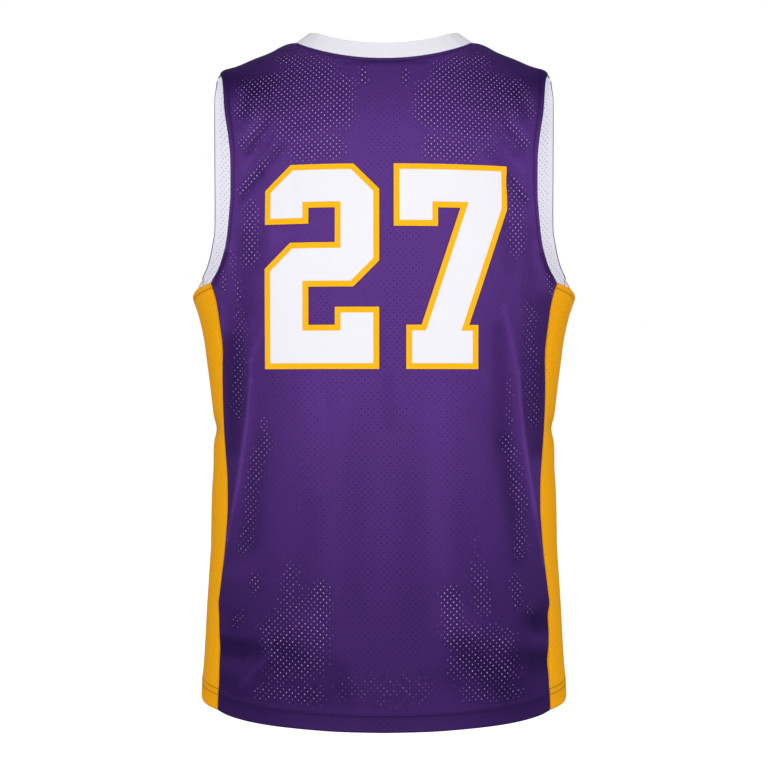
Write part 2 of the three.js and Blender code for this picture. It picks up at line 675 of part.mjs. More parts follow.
function addPiece(name, geometry, colour, roughness) {
  geometry.computeVertexNormals();
  const material = new THREE.MeshStandardMaterial({ color: colour, roughness, metalness: 0 });
  const piece = new THREE.Mesh(geometry, material);
  piece.name = name;
  jersey.add(piece);
}

addPiece("back_panel", frontOrBackPanel(true), COLOURS.purple, 0.75);
addPiece("front_panel", frontOrBackPanel(false), COLOURS.purple, 0.75);
addPiece("side_panel_left", sidePanel(-1), COLOURS.gold, 0.7);
addPiece("side_panel_right", sidePanel(1), COLOURS.gold, 0.7);
addPiece("collar", collarGeometry(), COLOURS.white, 0.8);

const DIGITS = [
  { name: "two", outline: twoOutline(), place: TWO },
  { name: "seven", outline: sevenOutline(), place: SEVEN },
];
for (const { name, outline, place } of DIGITS) {
  const face = inset(outline, DIGIT.border);
  const faceLift = TWILL_LIFT + TWILL + TWILL_GAP;
  const backing = twillGeometry(outline, place.left, TWILL_LIFT);
  addPiece(`number_${name}_backing`, backing, COLOURS.twill_gold, 0.6);
  addPiece(`number_${name}_face`, twillGeometry(face, place.left, faceLift), COLOURS.twill_white, 0.6);
}

export default jersey;
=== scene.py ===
"""A sleeveless basketball jersey, filled out with no wearer, seen from the back.

Sizes in the tables are in millimetres, in the row's frame: +Z up, the numbered back faces -Y.
"""
import math

import bmesh
import bpy
import numpy as np
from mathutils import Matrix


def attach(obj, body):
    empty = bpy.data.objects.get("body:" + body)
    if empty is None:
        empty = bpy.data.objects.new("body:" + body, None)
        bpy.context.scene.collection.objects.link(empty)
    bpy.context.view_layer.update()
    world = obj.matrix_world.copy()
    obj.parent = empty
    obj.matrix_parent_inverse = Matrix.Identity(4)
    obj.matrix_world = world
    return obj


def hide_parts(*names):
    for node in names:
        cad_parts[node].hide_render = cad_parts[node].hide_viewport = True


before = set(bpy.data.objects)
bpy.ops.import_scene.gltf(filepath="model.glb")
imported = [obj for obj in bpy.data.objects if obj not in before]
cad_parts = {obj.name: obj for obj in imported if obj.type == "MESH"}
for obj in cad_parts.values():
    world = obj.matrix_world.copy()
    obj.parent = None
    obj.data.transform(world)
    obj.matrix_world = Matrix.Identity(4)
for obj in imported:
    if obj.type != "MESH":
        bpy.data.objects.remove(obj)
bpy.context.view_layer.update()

MM = 0.001
WALL = 1.2
PATH_SAMPLES = 200

# Sizes of the worn form
SHOULDER_TIP_X = 188.5
SHOULDER_TIP_Z = -31.0
NECK_SIDE_X = 101.0
NECK_SIDE_Z = 4.6
BACK_NECK_DROP = 25.0
BACK_NECK_POWERS = (2.0, 0.72)
FRONT_NECK_DROP = 104.0
FRONT_NECK_POWERS = (2.3, 0.8)
SHOULDER_ROUNDING = 300.0
SECTION_POWER = 2.2
RIDGE_CLEARANCE = 1.5
HEM_SIDE_Z = -748.6
FRONT_SEAM_SHARE = 0.975
BACK_UNDERARM_Z = -274.3
FRONT_UNDERARM_Z = -266.0
SEAM_GAP = 0.3
RIDGE_GAP = 0.02

# Edges: how deep each turned band is, and where its stitch lines run, from the edge. Then how far a band
# stands out, how far its grooves and its rolled edge go in, and how far a seam turns in.
HEM_DEPTH = 24.0
HEM_STITCHES = (17.0, 23.5)
ARMHOLE_BAND = 8.0
ARMHOLE_STITCHES = (6.6,)
NECK_WELT = 6.0
NECK_STITCHES = (5.2,)
BAND_LIFT = 0.5
GROOVE_DEPTH = 0.5
EDGE_ROLL = 0.55
SEAM_TURN = 0.9

# Stitches: how far apart they start, how long and how thick they are
STITCH_PITCH = 3.4
STITCH_LENGTH = 2.8
STITCH_RADIUS = 0.26

# Rows and columns of the cloth's points, over panels of about these widths
HALF_PANEL = 205.0
SIDE_PANEL_WIDTH = 96.0
COLUMN_PITCH = 3.0
LOWER_ROWS = 142
UPPER_ROWS = 90
EDGE_STEPS = (0.0, 0.35, 0.8, 1.4, 2.2)

# The mesh: staggered rows of small holes, taller than wide, whose rims fade over a share of the radius
HOLE_PITCH = 6.93
HOLE_RADIUS = 0.59
HOLE_TALL = 1.25
HOLE_FADE = 0.5

# A hole shows as SHOW times its stroke's strength, less up to DROP by chance, over CLEAR. The full
# brightness differs from hole to hole too.
SHOW, DROP, CLEAR = 1.45, 0.3, 0.8
BRIGHT, UNEVEN = 0.95, 0.4

# Collar. At the neck sides it is narrower by the share DROP, over about REACH.
COLLAR_WIDTH = 22.0
COLLAR_WALL = 2.2
COLLAR_LIFT = 0.35
COLLAR_CORNER_DROP = 0.09
COLLAR_CORNER_REACH = 5.0

# Level sections: half width, and depth behind and before the side line
SECTIONS = [  # z, half width, back, front
    (40, 200, 117, 108), (-40, 204, 119, 113), (-140, 210, 121, 120), (-215, 214, 121, 124),
    (-262, 218, 120, 126), (-285, 219, 119, 126), (-295, 217.1, 118, 126), (-309, 212.5, 118, 125),
    (-336, 206.4, 117, 124), (-364, 202.6, 116, 123), (-392, 199, 115, 122), (-419, 196.2, 114, 120),
    (-440, 195.4, 114, 119), (-474, 195.4, 115, 119), (-520, 197.6, 117, 118), (-571, 198.5, 120, 117),
    (-599, 200.2, 121, 116), (-640, 202.8, 122, 116), (-695, 205.8, 123, 117), (-723, 207.9, 124, 118),
    (-750, 209, 124, 118), (-800, 211, 124, 119),
]
BACK_SEAM = [  # z, x
    (-265, 198), (-274.3, 194), (-284.6, 190.2), (-298, 186.7), (-324.6, 183.4), (-351, 181.4),
    (-405, 181.2), (-432, 180.5), (-459, 178.4), (-499, 175.3), (-525, 174.9), (-552, 176.7),
    (-579, 179.2), (-606, 182.6), (-620, 184.4), (-633, 185.9), (-646, 184.9), (-712, 184.3),
    (-739, 185.2), (-800, 187),
]
BACK_ARMHOLE = [  # z, x
    (-31, 188.5), (-40.6, 184.6), (-80, 180), (-109, 174.8), (-137, 171.6), (-178, 170.8), (-192, 171.6),
    (-218.5, 173.8), (-232, 175.6), (-245, 179), (-258, 183.6), (-270, 190.8), (-274.3, 194),
]
FRONT_ARMHOLE = [  # z, x
    (-31, 188.5), (-36, 191.2), (-47, 194.2), (-58, 196.1), (-125, 197.9), (-205, 199.2), (-222, 201.6),
    (-237, 204.4), (-251, 208), (-260, 211.4), (-266, 213.5),
]
SHOULDER_LINE = [  # x, z
    (0, 32), (37, 29), (64, 23.5), (81, 16.5), (91, 10), (97, 6.4), (101, 4.6), (106, 4.1), (110.5, 3.1),
    (119, -0.4), (128, -5.4), (137, -9.2), (147.5, -13.1), (169, -22), (183, -26.2), (188.5, -31),
    (192, -40), (205, -52), (225, -68),
]
COLLAR_LEAN = [  # the same line as the collar leans to it, straight on past the neck seam
    (0, 32), (37, 29), (64, 23.5), (81, 17), (91, 11), (101, 4.6), (121, -8),
]
HEM_LINE = [  # angle from the middle in degrees, z
    (0, -763.7), (13, -763), (25, -761.2), (39, -758.5), (53.5, -753.6), (60.5, -749.8), (68, -748.2),
    (75, -746.5), (82, -744.3), (90, -741.5),
]
UNDERARM_LINE = [  # share of the way from back to front, z
    (0, -274.3), (0.3, -280.6), (0.6, -287), (0.82, -281), (1, -266),
]

# Folds and creases: angle round the body from the middle of the back, height z, at both ends, half
# width, and how far the cloth stands out (a trough is negative)
FOLDS = [  # angle 0, z 0, angle 1, z 1, width, height
    (-36, -84, -47, -120, 10, 2.6), (-33, -100, -46, -140, 10, -3.2), (-35, -150, -47, -182, 9, -2.4),
    (37, -86, 47, -122, 10, 2.4), (34, -98, 46, -138, 10, -3), (36, -154, 47, -192, 9, -2.2),
    (-47, -290, -56, -470, 15, -4.5), (-43, -345, -56, -580, 9, 3), (47, -285, 57, -480, 15, -4.5),
    (40, -320, 58, -560, 9, 3), (33, -385, 49, -570, 15, -3.2), (-62, -432, -114, -446, 12, -3.4),
    (62, -432, 114, -446, 12, -3.4), (-62, -600, -38, -588, 13, 3.2), (-64, -678, -40, -688, 13, -5),
    (-50, -712, -34, -655, 12, 3), (64, -630, 50, -662, 13, -4.5), (64, -692, 46, -700, 12, -4),
    (50, -716, 34, -650, 12, 3), (-24, -440, -26, -700, 19, -2.6), (-9, -400, -10, -690, 18, -2.2),
    (8, -430, 10, -720, 18, -2.4), (23, -470, 27, -690, 18, -2.2), (-146, -120, -126, -190, 13, -3.4),
    (145, -112, 125, -180, 13, -3.2), (-124, -290, -133, -560, 16, -4.5), (125, -280, 135, -590, 16, -4.5),
    (-162, -330, -158, -690, 19, -3), (177, -390, 175, -700, 20, -2.6), (160, -350, 154, -680, 19, -3),
    (-118, -640, -142, -672, 14, -4.5), (118, -652, 143, -668, 14, -4.2),
]
CREASES = [  # the same, finer
    (-43, -335, -46, -400, 4, 1.0), (-46, -390, -50, -470, 4, 1.3), (-50, -455, -57, -600, 4, 1.2),
    (40, -310, 45, -400, 4, 1.0), (45, -390, 49, -470, 4, 1.3), (49, -455, 58, -600, 4, 1.2),
    (-36, -98, -45, -128, 3.5, -1.3), (-38, -126, -47, -164, 3.5, -1.2), (-39, -90, -48, -122, 3, 1.0),
    (37, -86, 43, -118, 3.5, -1.2), (38, -132, 46, -160, 3.5, -1.0), (44, -94, 50, -120, 3, 0.9),
    (-58, -678, -44, -674, 5, -1.6), (-50, -724, -36, -680, 3, 1.4), (50, -650, 62, -656, 5, -1.6),
    (46, -688, 60, -696, 5, -1.4), (-12, -330, -16, -520, 9, 0.7), (14, -400, 17, -600, 9, 0.7),
    (24, -672, 40, -724, 5, -1.1), (-60, -300, -58, -455, 6, -1.2), (61, -300, 59, -455, 6, -1.2),
    (-140, -250, -150, -330, 4, 1.0), (138, -260, 148, -350, 4, 1.1), (-128, -600, -150, -640, 4, 1.2),
    (127, -580, 150, -630, 4, 1.1), (168, -420, 172, -560, 6, 0.9), (-170, -500, -168, -640, 6, 0.9),
]
# What a degree measures along the cloth, and the share of a fold's length over which each end fades
FOLD_MM_PER_DEGREE = 3.5
FOLD_END_SHARE = 0.35

# How light the cloth is painted: from 39 in its deepest painted shade to 94 where it is painted fully lit,
# lighter in the middle as a painted highlight and darker towards the sides, top and bottom as painted
# shade. The inside's is a share of its lit colour.
TONE_DEEP = 38.7
TONE_FULL = 94.0
TONE_POWER = 2.3
CLOTH_PAINTED_SHADING = [  # z, at the middle, at the sides
    (40, 74, 52), (-36, 76, 57), (-79, 84, 72), (-123, 91, 86), (-166, 92, 87), (-253, 92, 82),
    (-296, 90, 78), (-383, 88, 72), (-469, 82, 70), (-556, 76, 65), (-643, 68, 57), (-729, 64, 52),
    (-800, 64, 52),
]
TONE_MIDDLE_X = 60.0
TONE_SIDE_X = 165.0
# Painted shade in fold troughs and painted highlight on fold ridges, per mm that the cloth stands in or
# out
PAINTED_SHADING_PER_FOLD_MM = 1.8
# The gold's painted shading, before its folds and edges
GOLD_PAINTED_SHADING = 92.0
# How much darker the purple is painted where its holes show light
DOTTED_TONE = 15.0
# Painted shade along seams, in stitch grooves and at rolled edges
SEAM_PAINTED_SHADE = -30.0
STITCH_PAINTED_SHADE = -20.0
EDGE_PAINTED_SHADE = -26.0
INSIDE_PAINTED_SHADING = 0.9

# Painted shade and painted highlights, laid on the back as strokes: ends, half width, and how much they
# lighten or darken it
BACK_PAINTED_LIGHT_AND_SHADE = [  # x0, z0, x1, z1, half width, tone
    (-180, -41, -137, -50, 13, -9), (173, -47, 184, -53, 11, -7), (-170, -340, -170, -461, 9, -15),
    (-133, -328, -147, -361, 3, 8), (-147, -361, -147, -383, 2, 9), (-147, -383, -152, -427, 2, 13),
    (-152, -427, -158, -471, 2, 18), (-158, -471, -162, -496, 2, 20), (-162, -496, -168, -527, 2, 19),
    (-168, -527, -175, -561, 2, 18), (-175, -561, -179, -590, 2, 13), (-134, -449, -145, -559, 10, -7),
    (179, -294, 172, -461, 9, -14), (131, -301, 148, -375, 3, 11), (148, -375, 156, -457, 2.1, 19),
    (156, -457, 167, -523, 2, 21), (167, -523, 179, -590, 2, 17), (124, -328, 131, -452, 8, -9),
    (131, -452, 146, -581, 8, -8), (-180, -678, -138, -676, 8, -14), (-175, -715, -158, -724, 9, -8),
    (-173, -697, -153, -693, 7, 5), (-158, -720, -122, -679, 3, 9), (-115, -671, -91, -684, 7, -8),
    (159, -647, 186, -653, 9, -14), (144, -684, 179, -694, 9, -12), (167, -670, 188, -673, 5, 5),
    (83, -670, 132, -721, 10, -9), (5, -383, 7, -431, 7, -5), (-78, -394, -72, -491, 13, 3),
    (61, -404, 66, -578, 13, 3), (-47, -696, -42, -717, 9, -6), (48, -701, 72, -707, 9, -5),
    (-43, -31, 46, -30, 2, -12), (-152, -225, -150, -305, 9, -8), (160, -215, 161, -300, 8, -7),
    (-128, -690, -70, -700, 24, -8), (92, -690, 140, -700, 24, -8), (-80, -728, -45, -728, 14, -6),
    (-83, -640, -79, -646, 14, 6), (72, -640, 94, -646, 15, 6), (-172, -640, -168, -650, 8, -5),
    (-170, -480, -171, -540, 7, -5), (173, -470, 170, -530, 6, 5), (-178, -300, -180, -335, 3, 7),
    (-128, -96, -153, -131, 3, -13), (-137, -86, -158, -113, 5, 8), (-125, -107, -155, -148, 4, 5),
    (-112, -125, -135, -154, 5, -9), (-135, -154, -159, -184, 4, -10), (-144, -58, -159, -86, 5, -9),
    (-164, -63, -165, -90, 5, 6), (-186, -37, -163, -43, 7, -4), (-154, -28, -108, -6, 8, -3),
    (-174, -243, -188, -276, 3, -20), (-167, -232, -169, -258, 4, 7), (-132, -217, -137, -259, 7, -8),
    (-120, -224, -117, -229, 8, 6), (130, -94, 155, -127, 3, -10), (138, -84, 159, -110, 5, 6),
    (125, -114, 154, -152, 4, 4), (116, -130, 137, -157, 5, -7), (137, -157, 157, -187, 4, -8),
    (146, -59, 159, -87, 5, -8), (165, -65, 166, -91, 5, 5), (162, -43, 185, -39, 7, -4),
    (106, -6, 155, -28, 8, -3), (174, -243, 188, -276, 3, -18), (167, -232, 169, -257, 4, 6),
    (133, -217, 137, -259, 7, -7),
]
# Strokes where the holes show the white layer beneath in painted light, and where they show painted shade:
# on the back, and mirrored on the front
LIGHT_HOLES = [  # x0, z0, x1, z1, half width, strength
    (-148, -59, -69, -43, 15, 0.85), (-136, -79, -50, -65, 17, 0.95), (-103, -105, -50, -89, 16, 0.95),
    (-90, -131, -55, -127, 13, 0.76), (-157, -66, -161, -80, 8, 0.66), (-135, -96, -158, -119, 5, 0.85),
    (-131, -142, -157, -172, 5, 0.76), (-147, -193, -147, -249, 9, 0.64),
    (-168, -243, -159, -295, 3, 0.56), (-179, -264, -177, -282, 3, 0.64),
    (-158, -311, -162, -418, 8, 0.35), (-134, -427, -127, -448, 4.6, 0.35),
    (-128, -448, -142, -475, 8, 0.4), (-141, -475, -147, -515, 8, 0.4), (-147, -528, -155, -570, 8, 0.35),
    (-140, -598, -142, -613, 5.8, 0.42), (-159, -640, -164, -651, 5.8, 0.31),
    (-101, -585, -91, -611, 8, 0.21), (-68, -612, -71, -664, 11, 0.56), (-126, -653, -80, -623, 11, 0.39),
    (-115, -671, -75, -651, 17, 0.51), (-111, -696, -78, -686, 17, 0.45),
    (-133, -723, -74, -724, 10, 0.39), (69, -45, 146, -59, 15, 0.85), (53, -69, 135, -79, 17, 0.95),
    (51, -89, 104, -105, 16, 0.95), (55, -128, 90, -131, 13, 0.76), (162, -71, 164, -82, 7, 0.57),
    (135, -91, 158, -119, 5, 0.85), (143, -160, 156, -184, 4, 0.66), (145, -171, 146, -238, 9, 0.64),
    (183, -266, 187, -284, 4, 0.56), (161, -302, 166, -425, 8, 0.35), (138, -379, 138, -431, 3.4, 0.35),
    (137, -447, 145, -487, 8, 0.4), (143, -489, 153, -521, 8, 0.4), (150, -528, 150, -572, 8, 0.35),
    (144, -599, 146, -629, 5.8, 0.42), (163, -630, 161, -638, 4.6, 0.31),
    (99, -557, 102, -620, 5.8, 0.18), (72, -617, 76, -658, 11, 0.56), (80, -660, 127, -669, 16, 0.51),
    (86, -692, 130, -697, 17, 0.51), (93, -721, 143, -725, 10.3, 0.36), (-34, -717, 39, -717, 16, 0.23),
    (-23, -39, -22, -54, 4, 0.76), (103, -590, 108, -632, 10, 0.4), (-101, -590, -110, -640, 9, 0.34),
    (23, -41, 24, -53, 4, 0.66), (-112, -22, -74, -30, 9, 0.55), (74, -30, 112, -22, 9, 0.55),
    (-150, -120, -120, -90, 16, 0.25), (120, -90, 150, -120, 16, 0.25), (-118, -128, -100, -120, 9, 0.4),
    (100, -120, 118, -128, 9, 0.4),
]
DARK_HOLES = [  # x0, z0, x1, z1, half width, strength
    (1, -75, 1, -144, 21, 1), (20, -229, 20, -350, 21, 1.1), (-67, -288, -67, -320, 11, 1),
    (-116, -389, 90, -389, 13, 0.9), (1, -388, 5, -730, 36, 1.1), (1, -491, 5, -620, 50, 1),
    (60, -400, 90, -560, 24, 0.6), (-90, -400, -70, -560, 24, 0.6),
]
# Painted shade in the holes: at least this much on the purple, then on the gold and on the white inside
FAINT_HOLES = 0.3
GOLD_HOLES = 0.4
INSIDE_HOLES = 0.85

# The number: sizes of the gold outlines, in the plane of x and z
DIGIT_HEIGHT = 223.2
DIGIT_STROKE = 48.0
DIGIT_CHAMFER = 28.0
DIGIT_BORDER = 6.3
DIGIT_BOTTOM_Z = -370.7
TWO = {"left": -130.0, "width": 124.8, "mid_top": 137.3, "mid_bottom": 89.3, "hook": 157.7, "foot": 67.4}
SEVEN = {"left": 10.5, "width": 124.2, "hook": 154.8, "stem_top": 72.4, "stem_bottom": 30.2,
         "foot_left": 13.6, "foot_right": 92.0}
TWILL = 0.45
BACKING_LIFT = 0.5
FACE_LIFT = 1.1
TWILL_CELL = 4.0

# Camera: where it stands, and the width it sees at the garment's side line
CAMERA_DISTANCE = 2000.0
CAMERA_Z = -387.0
SEEN_WIDTH = 1.15 * 768
SENSOR = 36.0

# Light: the lamps, and the even light of the room
LAMPS = [  # name, place, target and size in metres, watts
    ("key", (-0.2, -2.7, 0.45), (0, 0, -0.35), (2.4, 2.0), 48.0),
    ("fill_left", (-2.3, -0.9, 0.0), (0, 0, -0.4), (1.2, 1.8), 9.0),
    ("fill_right", (2.3, -0.9, 0.0), (0, 0, -0.4), (1.2, 1.8), 13.95),
]
INSIDE_WATTS = 0.4
AMBIENT = 0.4
FLOOR_HALF = 12.0
FLOOR_Z = -1.25


def curve_of(rows, value=1):
    """A smooth curve through a table's rows that never overshoots."""
    rows = sorted(rows)
    at = np.array([row[0] for row in rows], float)
    to = np.array([row[value] for row in rows], float)
    rise = np.diff(to) / np.diff(at)
    slope = np.empty(len(at))
    slope[0], slope[-1] = rise[0], rise[-1]
    for i in range(1, len(at) - 1):
        before, after = rise[i - 1], rise[i]
        slope[i] = 0 if before * after <= 0 else 2 * before * after / (before + after)

    def read(x):
        inside = np.clip(x, at[0], at[-1])
        i = np.clip(np.searchsorted(at, inside) - 1, 0, len(at) - 2)
        span = at[i + 1] - at[i]
        t = (inside - at[i]) / span
        return ((1 + 2 * t) * (1 - t) ** 2 * to[i] + t * (1 - t) ** 2 * span * slope[i]
                + t * t * (3 - 2 * t) * to[i + 1] + t * t * (t - 1) * span * slope[i + 1])

    return read


half_width_at = curve_of(SECTIONS, 1)
back_depth_at = curve_of(SECTIONS, 2)
front_depth_at = curve_of(SECTIONS, 3)
back_seam_at = curve_of(BACK_SEAM)
back_armhole_at = curve_of(BACK_ARMHOLE)
front_armhole_at = curve_of(FRONT_ARMHOLE)
shoulder_line_at = curve_of(SHOULDER_LINE)
collar_lean_at = curve_of(COLLAR_LEAN)
hem_line_at = curve_of(HEM_LINE)
underarm_at = curve_of(UNDERARM_LINE)
middle_painted_shading_at = curve_of(CLOTH_PAINTED_SHADING, 1)
side_painted_shading_at = curve_of(CLOTH_PAINTED_SHADING, 2)


def smooth(t):
    t = np.clip(t, 0, 1)
    return t * t * (3 - 2 * t)


def angle_of(x, z, on_back):
    share = np.minimum(np.abs(x) / half_width_at(z), 1)
    depth = (1 - share ** SECTION_POWER) ** (1 / SECTION_POWER)
    return np.where(np.asarray(x) < 0, -1, 1) * np.arctan2(share, depth if on_back else -depth)


def shoulder_share(x, z, top_line_at):
    below = np.clip((top_line_at(np.abs(x)) - z) / SHOULDER_ROUNDING, 0, 1)
    return np.sqrt(1 - (1 - below) ** 2)


def bare_point(angle, z, top_line_at=shoulder_line_at):
    """A point of the worn form with no folds, for arrays of angles and heights."""
    angle, z = np.broadcast_arrays(np.asarray(angle, float), np.asarray(z, float))
    s, c = np.sin(angle), np.cos(angle)
    r = (np.abs(s) ** SECTION_POWER + np.abs(c) ** SECTION_POWER) ** (-1 / SECTION_POWER)
    x = half_width_at(z) * r * s
    depth = np.where(c > 0, back_depth_at(z), front_depth_at(z))
    return np.stack([x, -depth * r * c * shoulder_share(x, z, top_line_at), z], axis=-1)


def unit(v):
    return v / np.maximum(np.linalg.norm(v, axis=-1, keepdims=True), 1e-12)


def outward_at(angle, height, line=shoulder_line_at):
    """The direction out of the cloth. On the shoulder line it leans to neither back nor front."""
    turn, step = 0.002, 0.4
    height = np.asarray(height, float)
    below = np.maximum(line(np.abs(bare_point(angle, height)[..., 0])) - height, 0)
    z = np.minimum(height, height + below - RIDGE_CLEARANCE)
    across = bare_point(angle + turn, z, line) - bare_point(angle - turn, z, line)
    up = bare_point(angle, z, line) - bare_point(angle, z - step, line)
    outward = np.cross(across, up)
    outward[..., 1] *= np.minimum(below / RIDGE_CLEARANCE, 1)
    return unit(outward)


def fold_height(angle, z):
    turn = np.degrees(angle)
    height = np.zeros(np.broadcast(angle, z).shape)
    for angle0, z0, angle1, z1, width, out in FOLDS + CREASES:
        along_x = (angle1 - angle0) * FOLD_MM_PER_DEGREE
        along_z = z1 - z0
        length = math.hypot(along_x, along_z)
        away = (turn - angle0 + 180) % 360 - 180
        from_x, from_z = away * FOLD_MM_PER_DEGREE, z - z0
        share = (from_x * along_x + from_z * along_z) / length ** 2
        off = (from_x * along_z - from_z * along_x) / length
        taper = smooth(share / FOLD_END_SHARE) * smooth((1 - share) / FOLD_END_SHARE)
        height += out * taper * np.exp(-((off / width) ** 2))
    return height


def cloth_point(angle, z, lift):
    out = np.asarray(fold_height(angle, z) + lift)[..., None]
    return bare_point(angle, z) + outward_at(angle, z) * out


def hem_at(angle):
    turn = np.degrees(np.abs(angle))
    return hem_line_at(np.where(turn > 90, 180 - turn, turn))


def neck_seam_at(x, on_back):
    """The neckline's height: a bowl between the two neck sides."""
    share = np.minimum(np.abs(x) / NECK_SIDE_X, 1)
    drop = BACK_NECK_DROP if on_back else FRONT_NECK_DROP
    width_power, depth_power = BACK_NECK_POWERS if on_back else FRONT_NECK_POWERS
    return NECK_SIDE_Z - (NECK_SIDE_Z + drop) * (1 - share ** width_power) ** depth_power


def seam_angle(z, on_back):
    x = back_seam_at(z) if on_back else FRONT_SEAM_SHARE * half_width_at(z)
    return angle_of(x, z, on_back)


def trimmed(angle, z, on_back, away):
    """The seam's angle, moved half the seam gap to one side."""
    near = bare_point(angle, z)
    per_radian = np.linalg.norm(bare_point(angle + 0.001, z) - near, axis=-1) / 0.001
    return angle + SEAM_GAP / 2 / per_radian * (-away if on_back else away)


def along_path(path, distances_of):
    """Points of a path, path(t) -> (angle, z), at distances that distances_of(length) lists."""
    t = np.linspace(0, 1, PATH_SAMPLES + 1)
    angle, z = path(t)
    points = bare_point(angle, z)
    lengths = np.concatenate([[0], np.cumsum(np.linalg.norm(np.diff(points, axis=0), axis=-1))])
    wanted = distances_of(lengths[-1])
    angle, z = path(np.interp(wanted, lengths, t))
    return angle, z, wanted, lengths[-1] - wanted


def near_stitches(lines, depth):
    """Distances from an edge where points are close, so that its roll and its stitch lines are round."""
    steps = set(EDGE_STEPS)
    for line in lines:
        steps.update(line + d for d in (-1.6, -0.9, -0.4, 0.0, 0.4, 0.9, 1.6))
    steps.update((depth + 0.4, depth + 1.2, depth + 2.2))
    return sorted(steps)


HEM_STEPS = near_stitches(HEM_STITCHES, HEM_DEPTH)
ARMHOLE_STEPS = near_stitches(ARMHOLE_STITCHES, ARMHOLE_BAND)
NECK_STEPS = near_stitches(NECK_STITCHES, NECK_WELT)


def spaced(start, end, pitch):
    count = max(int(round((end - start) / pitch)), 1)
    return np.linspace(start, end, count + 1)


def edge_lift(distance, depth, stitches):
    """A turned band: raised to its depth, pulled in at its stitch lines, and rolled at the edge."""
    out = BAND_LIFT * (1 - smooth((distance - depth) / 1.4))
    for line in stitches:
        out = out - GROOVE_DEPTH * np.exp(-(((distance - line) / 0.8) ** 2))
    return out - EDGE_ROLL * (1 - smooth(distance / 1.3))


def edge_painted_shade(distance, stitches):
    """Painted shade in the groove of each stitch line and at the edge's roll."""
    painted_shading = EDGE_PAINTED_SHADE * np.exp(-((distance / 1.1) ** 2))
    for line in stitches:
        painted_shading = painted_shading + STITCH_PAINTED_SHADE * np.exp(-(((distance - line) / 1.5) ** 2))
    return painted_shading


def seam_lift(distance):
    """A seam's edge turns in."""
    return -SEAM_TURN * np.exp(-((distance / 1.3) ** 2))


# Painted shade along a seam
def seam_painted_shade(distance):
    return SEAM_PAINTED_SHADE * np.exp(-((distance / 1.6) ** 2))


def column_shares():
    """Where a panel's columns run, as shares of its half width, from -1 to 1."""
    near_edge = 1 - np.array(ARMHOLE_STEPS)[::-1] / HALF_PANEL
    neck_share = NECK_SIDE_X / SHOULDER_TIP_X
    to_neck = spaced(0, neck_share, COLUMN_PITCH / HALF_PANEL)
    to_edge = spaced(neck_share, near_edge[0], COLUMN_PITCH / HALF_PANEL)
    half = np.concatenate([to_neck, to_edge[1:], near_edge[1:]])
    return np.concatenate([-half[:0:-1], half])


def lower_rows(length):
    """Rows from the hem to the underarm, the same on both sides of the side seam."""
    upper = length - np.array(ARMHOLE_STEPS)[::-1]
    return np.concatenate([HEM_STEPS, np.linspace(HEM_DEPTH + 5, length - 13, LOWER_ROWS), upper])


def upper_rows(length):
    """Rows from the underarm to the neckline or the shoulder."""
    top = length - np.array(NECK_STEPS)[::-1]
    return np.concatenate([np.linspace(0, length - 11, UPPER_ROWS)[1:], top])


# A grid of cloth has six values at each point: angle, height, lift, painted shade of seams, stitch grooves
# and edges, distance from the hem, and 1 where the mesh is open, 0 on the turned bands.
ANGLE, HEIGHT, LIFT, SHADE, ALONG, OPEN = range(6)


def panel_grid(on_back):
    middle = 0.0 if on_back else math.pi
    underarm_z = BACK_UNDERARM_Z if on_back else FRONT_UNDERARM_Z
    armhole_at = back_armhole_at if on_back else front_armhole_at
    tip = angle_of(SHOULDER_TIP_X, SHOULDER_TIP_Z, on_back) - middle
    columns = []
    for u in column_shares():
        share, side = abs(u), (-1 if u < 0 else 1)
        edge_distance = (1 - share) * HALF_PANEL
        at_hem = hem_at(middle + (seam_angle(HEM_SIDE_Z, on_back) - middle) * share)

        def lower(t):
            z = at_hem + (underarm_z - at_hem) * t
            edge = trimmed(seam_angle(z, on_back), z, on_back, 1) - middle
            return side * (middle + edge * share), z

        top_x = share * SHOULDER_TIP_X
        in_neck = top_x < NECK_SIDE_X - 1e-6
        top_z = neck_seam_at(top_x, on_back) if in_neck else shoulder_line_at(top_x)
        to_top = angle_of(top_x, top_z, on_back) - middle - share * tip

        def upper(t):
            rise = 1 - (1 - t) ** 2
            z = underarm_z + (top_z - underarm_z) * rise
            edge_z = underarm_z + (SHOULDER_TIP_Z - underarm_z) * rise
            edge = angle_of(armhole_at(edge_z), edge_z, on_back) - middle
            return side * (middle + edge * share + to_top * rise ** 3), z

        angle, z, along, _ = along_path(lower, lower_rows)
        clear = smooth((along - HEM_DEPTH) / 3)
        lift = edge_lift(along, HEM_DEPTH, HEM_STITCHES) + seam_lift(edge_distance)
        painted_shading = edge_painted_shade(along, HEM_STITCHES[:1]) + seam_painted_shade(edge_distance)
        angle2, z2, above, from_top = along_path(upper, upper_rows)
        if in_neck:
            lift2 = edge_lift(from_top, NECK_WELT, NECK_STITCHES)
            painted_shading2 = edge_painted_shade(from_top, NECK_STITCHES)
        else:
            lift2, painted_shading2 = seam_lift(from_top), seam_painted_shade(from_top)
        # The side seam runs on into the armhole's edge
        share_up = smooth(above / 6)
        clear2 = 1 - (1 - smooth((edge_distance - ARMHOLE_BAND) / 2)) * share_up
        if in_neck:
            clear2 = clear2 * smooth((from_top - NECK_WELT) / 3)
        armhole = edge_lift(edge_distance, ARMHOLE_BAND, ARMHOLE_STITCHES)
        lift2 = lift2 + armhole * share_up + seam_lift(edge_distance) * (1 - share_up)
        painted_shading2 = (painted_shading2 + edge_painted_shade(edge_distance, ARMHOLE_STITCHES) * share_up
                 + seam_painted_shade(edge_distance) * (1 - share_up))
        columns.append(np.stack([np.concatenate(pair) for pair in (
            (angle, angle2), (z, z2), (lift, lift2), (painted_shading, painted_shading2), (along, along[-1] + above),
            (clear, clear2))], axis=-1))
    return np.stack(columns, axis=1)


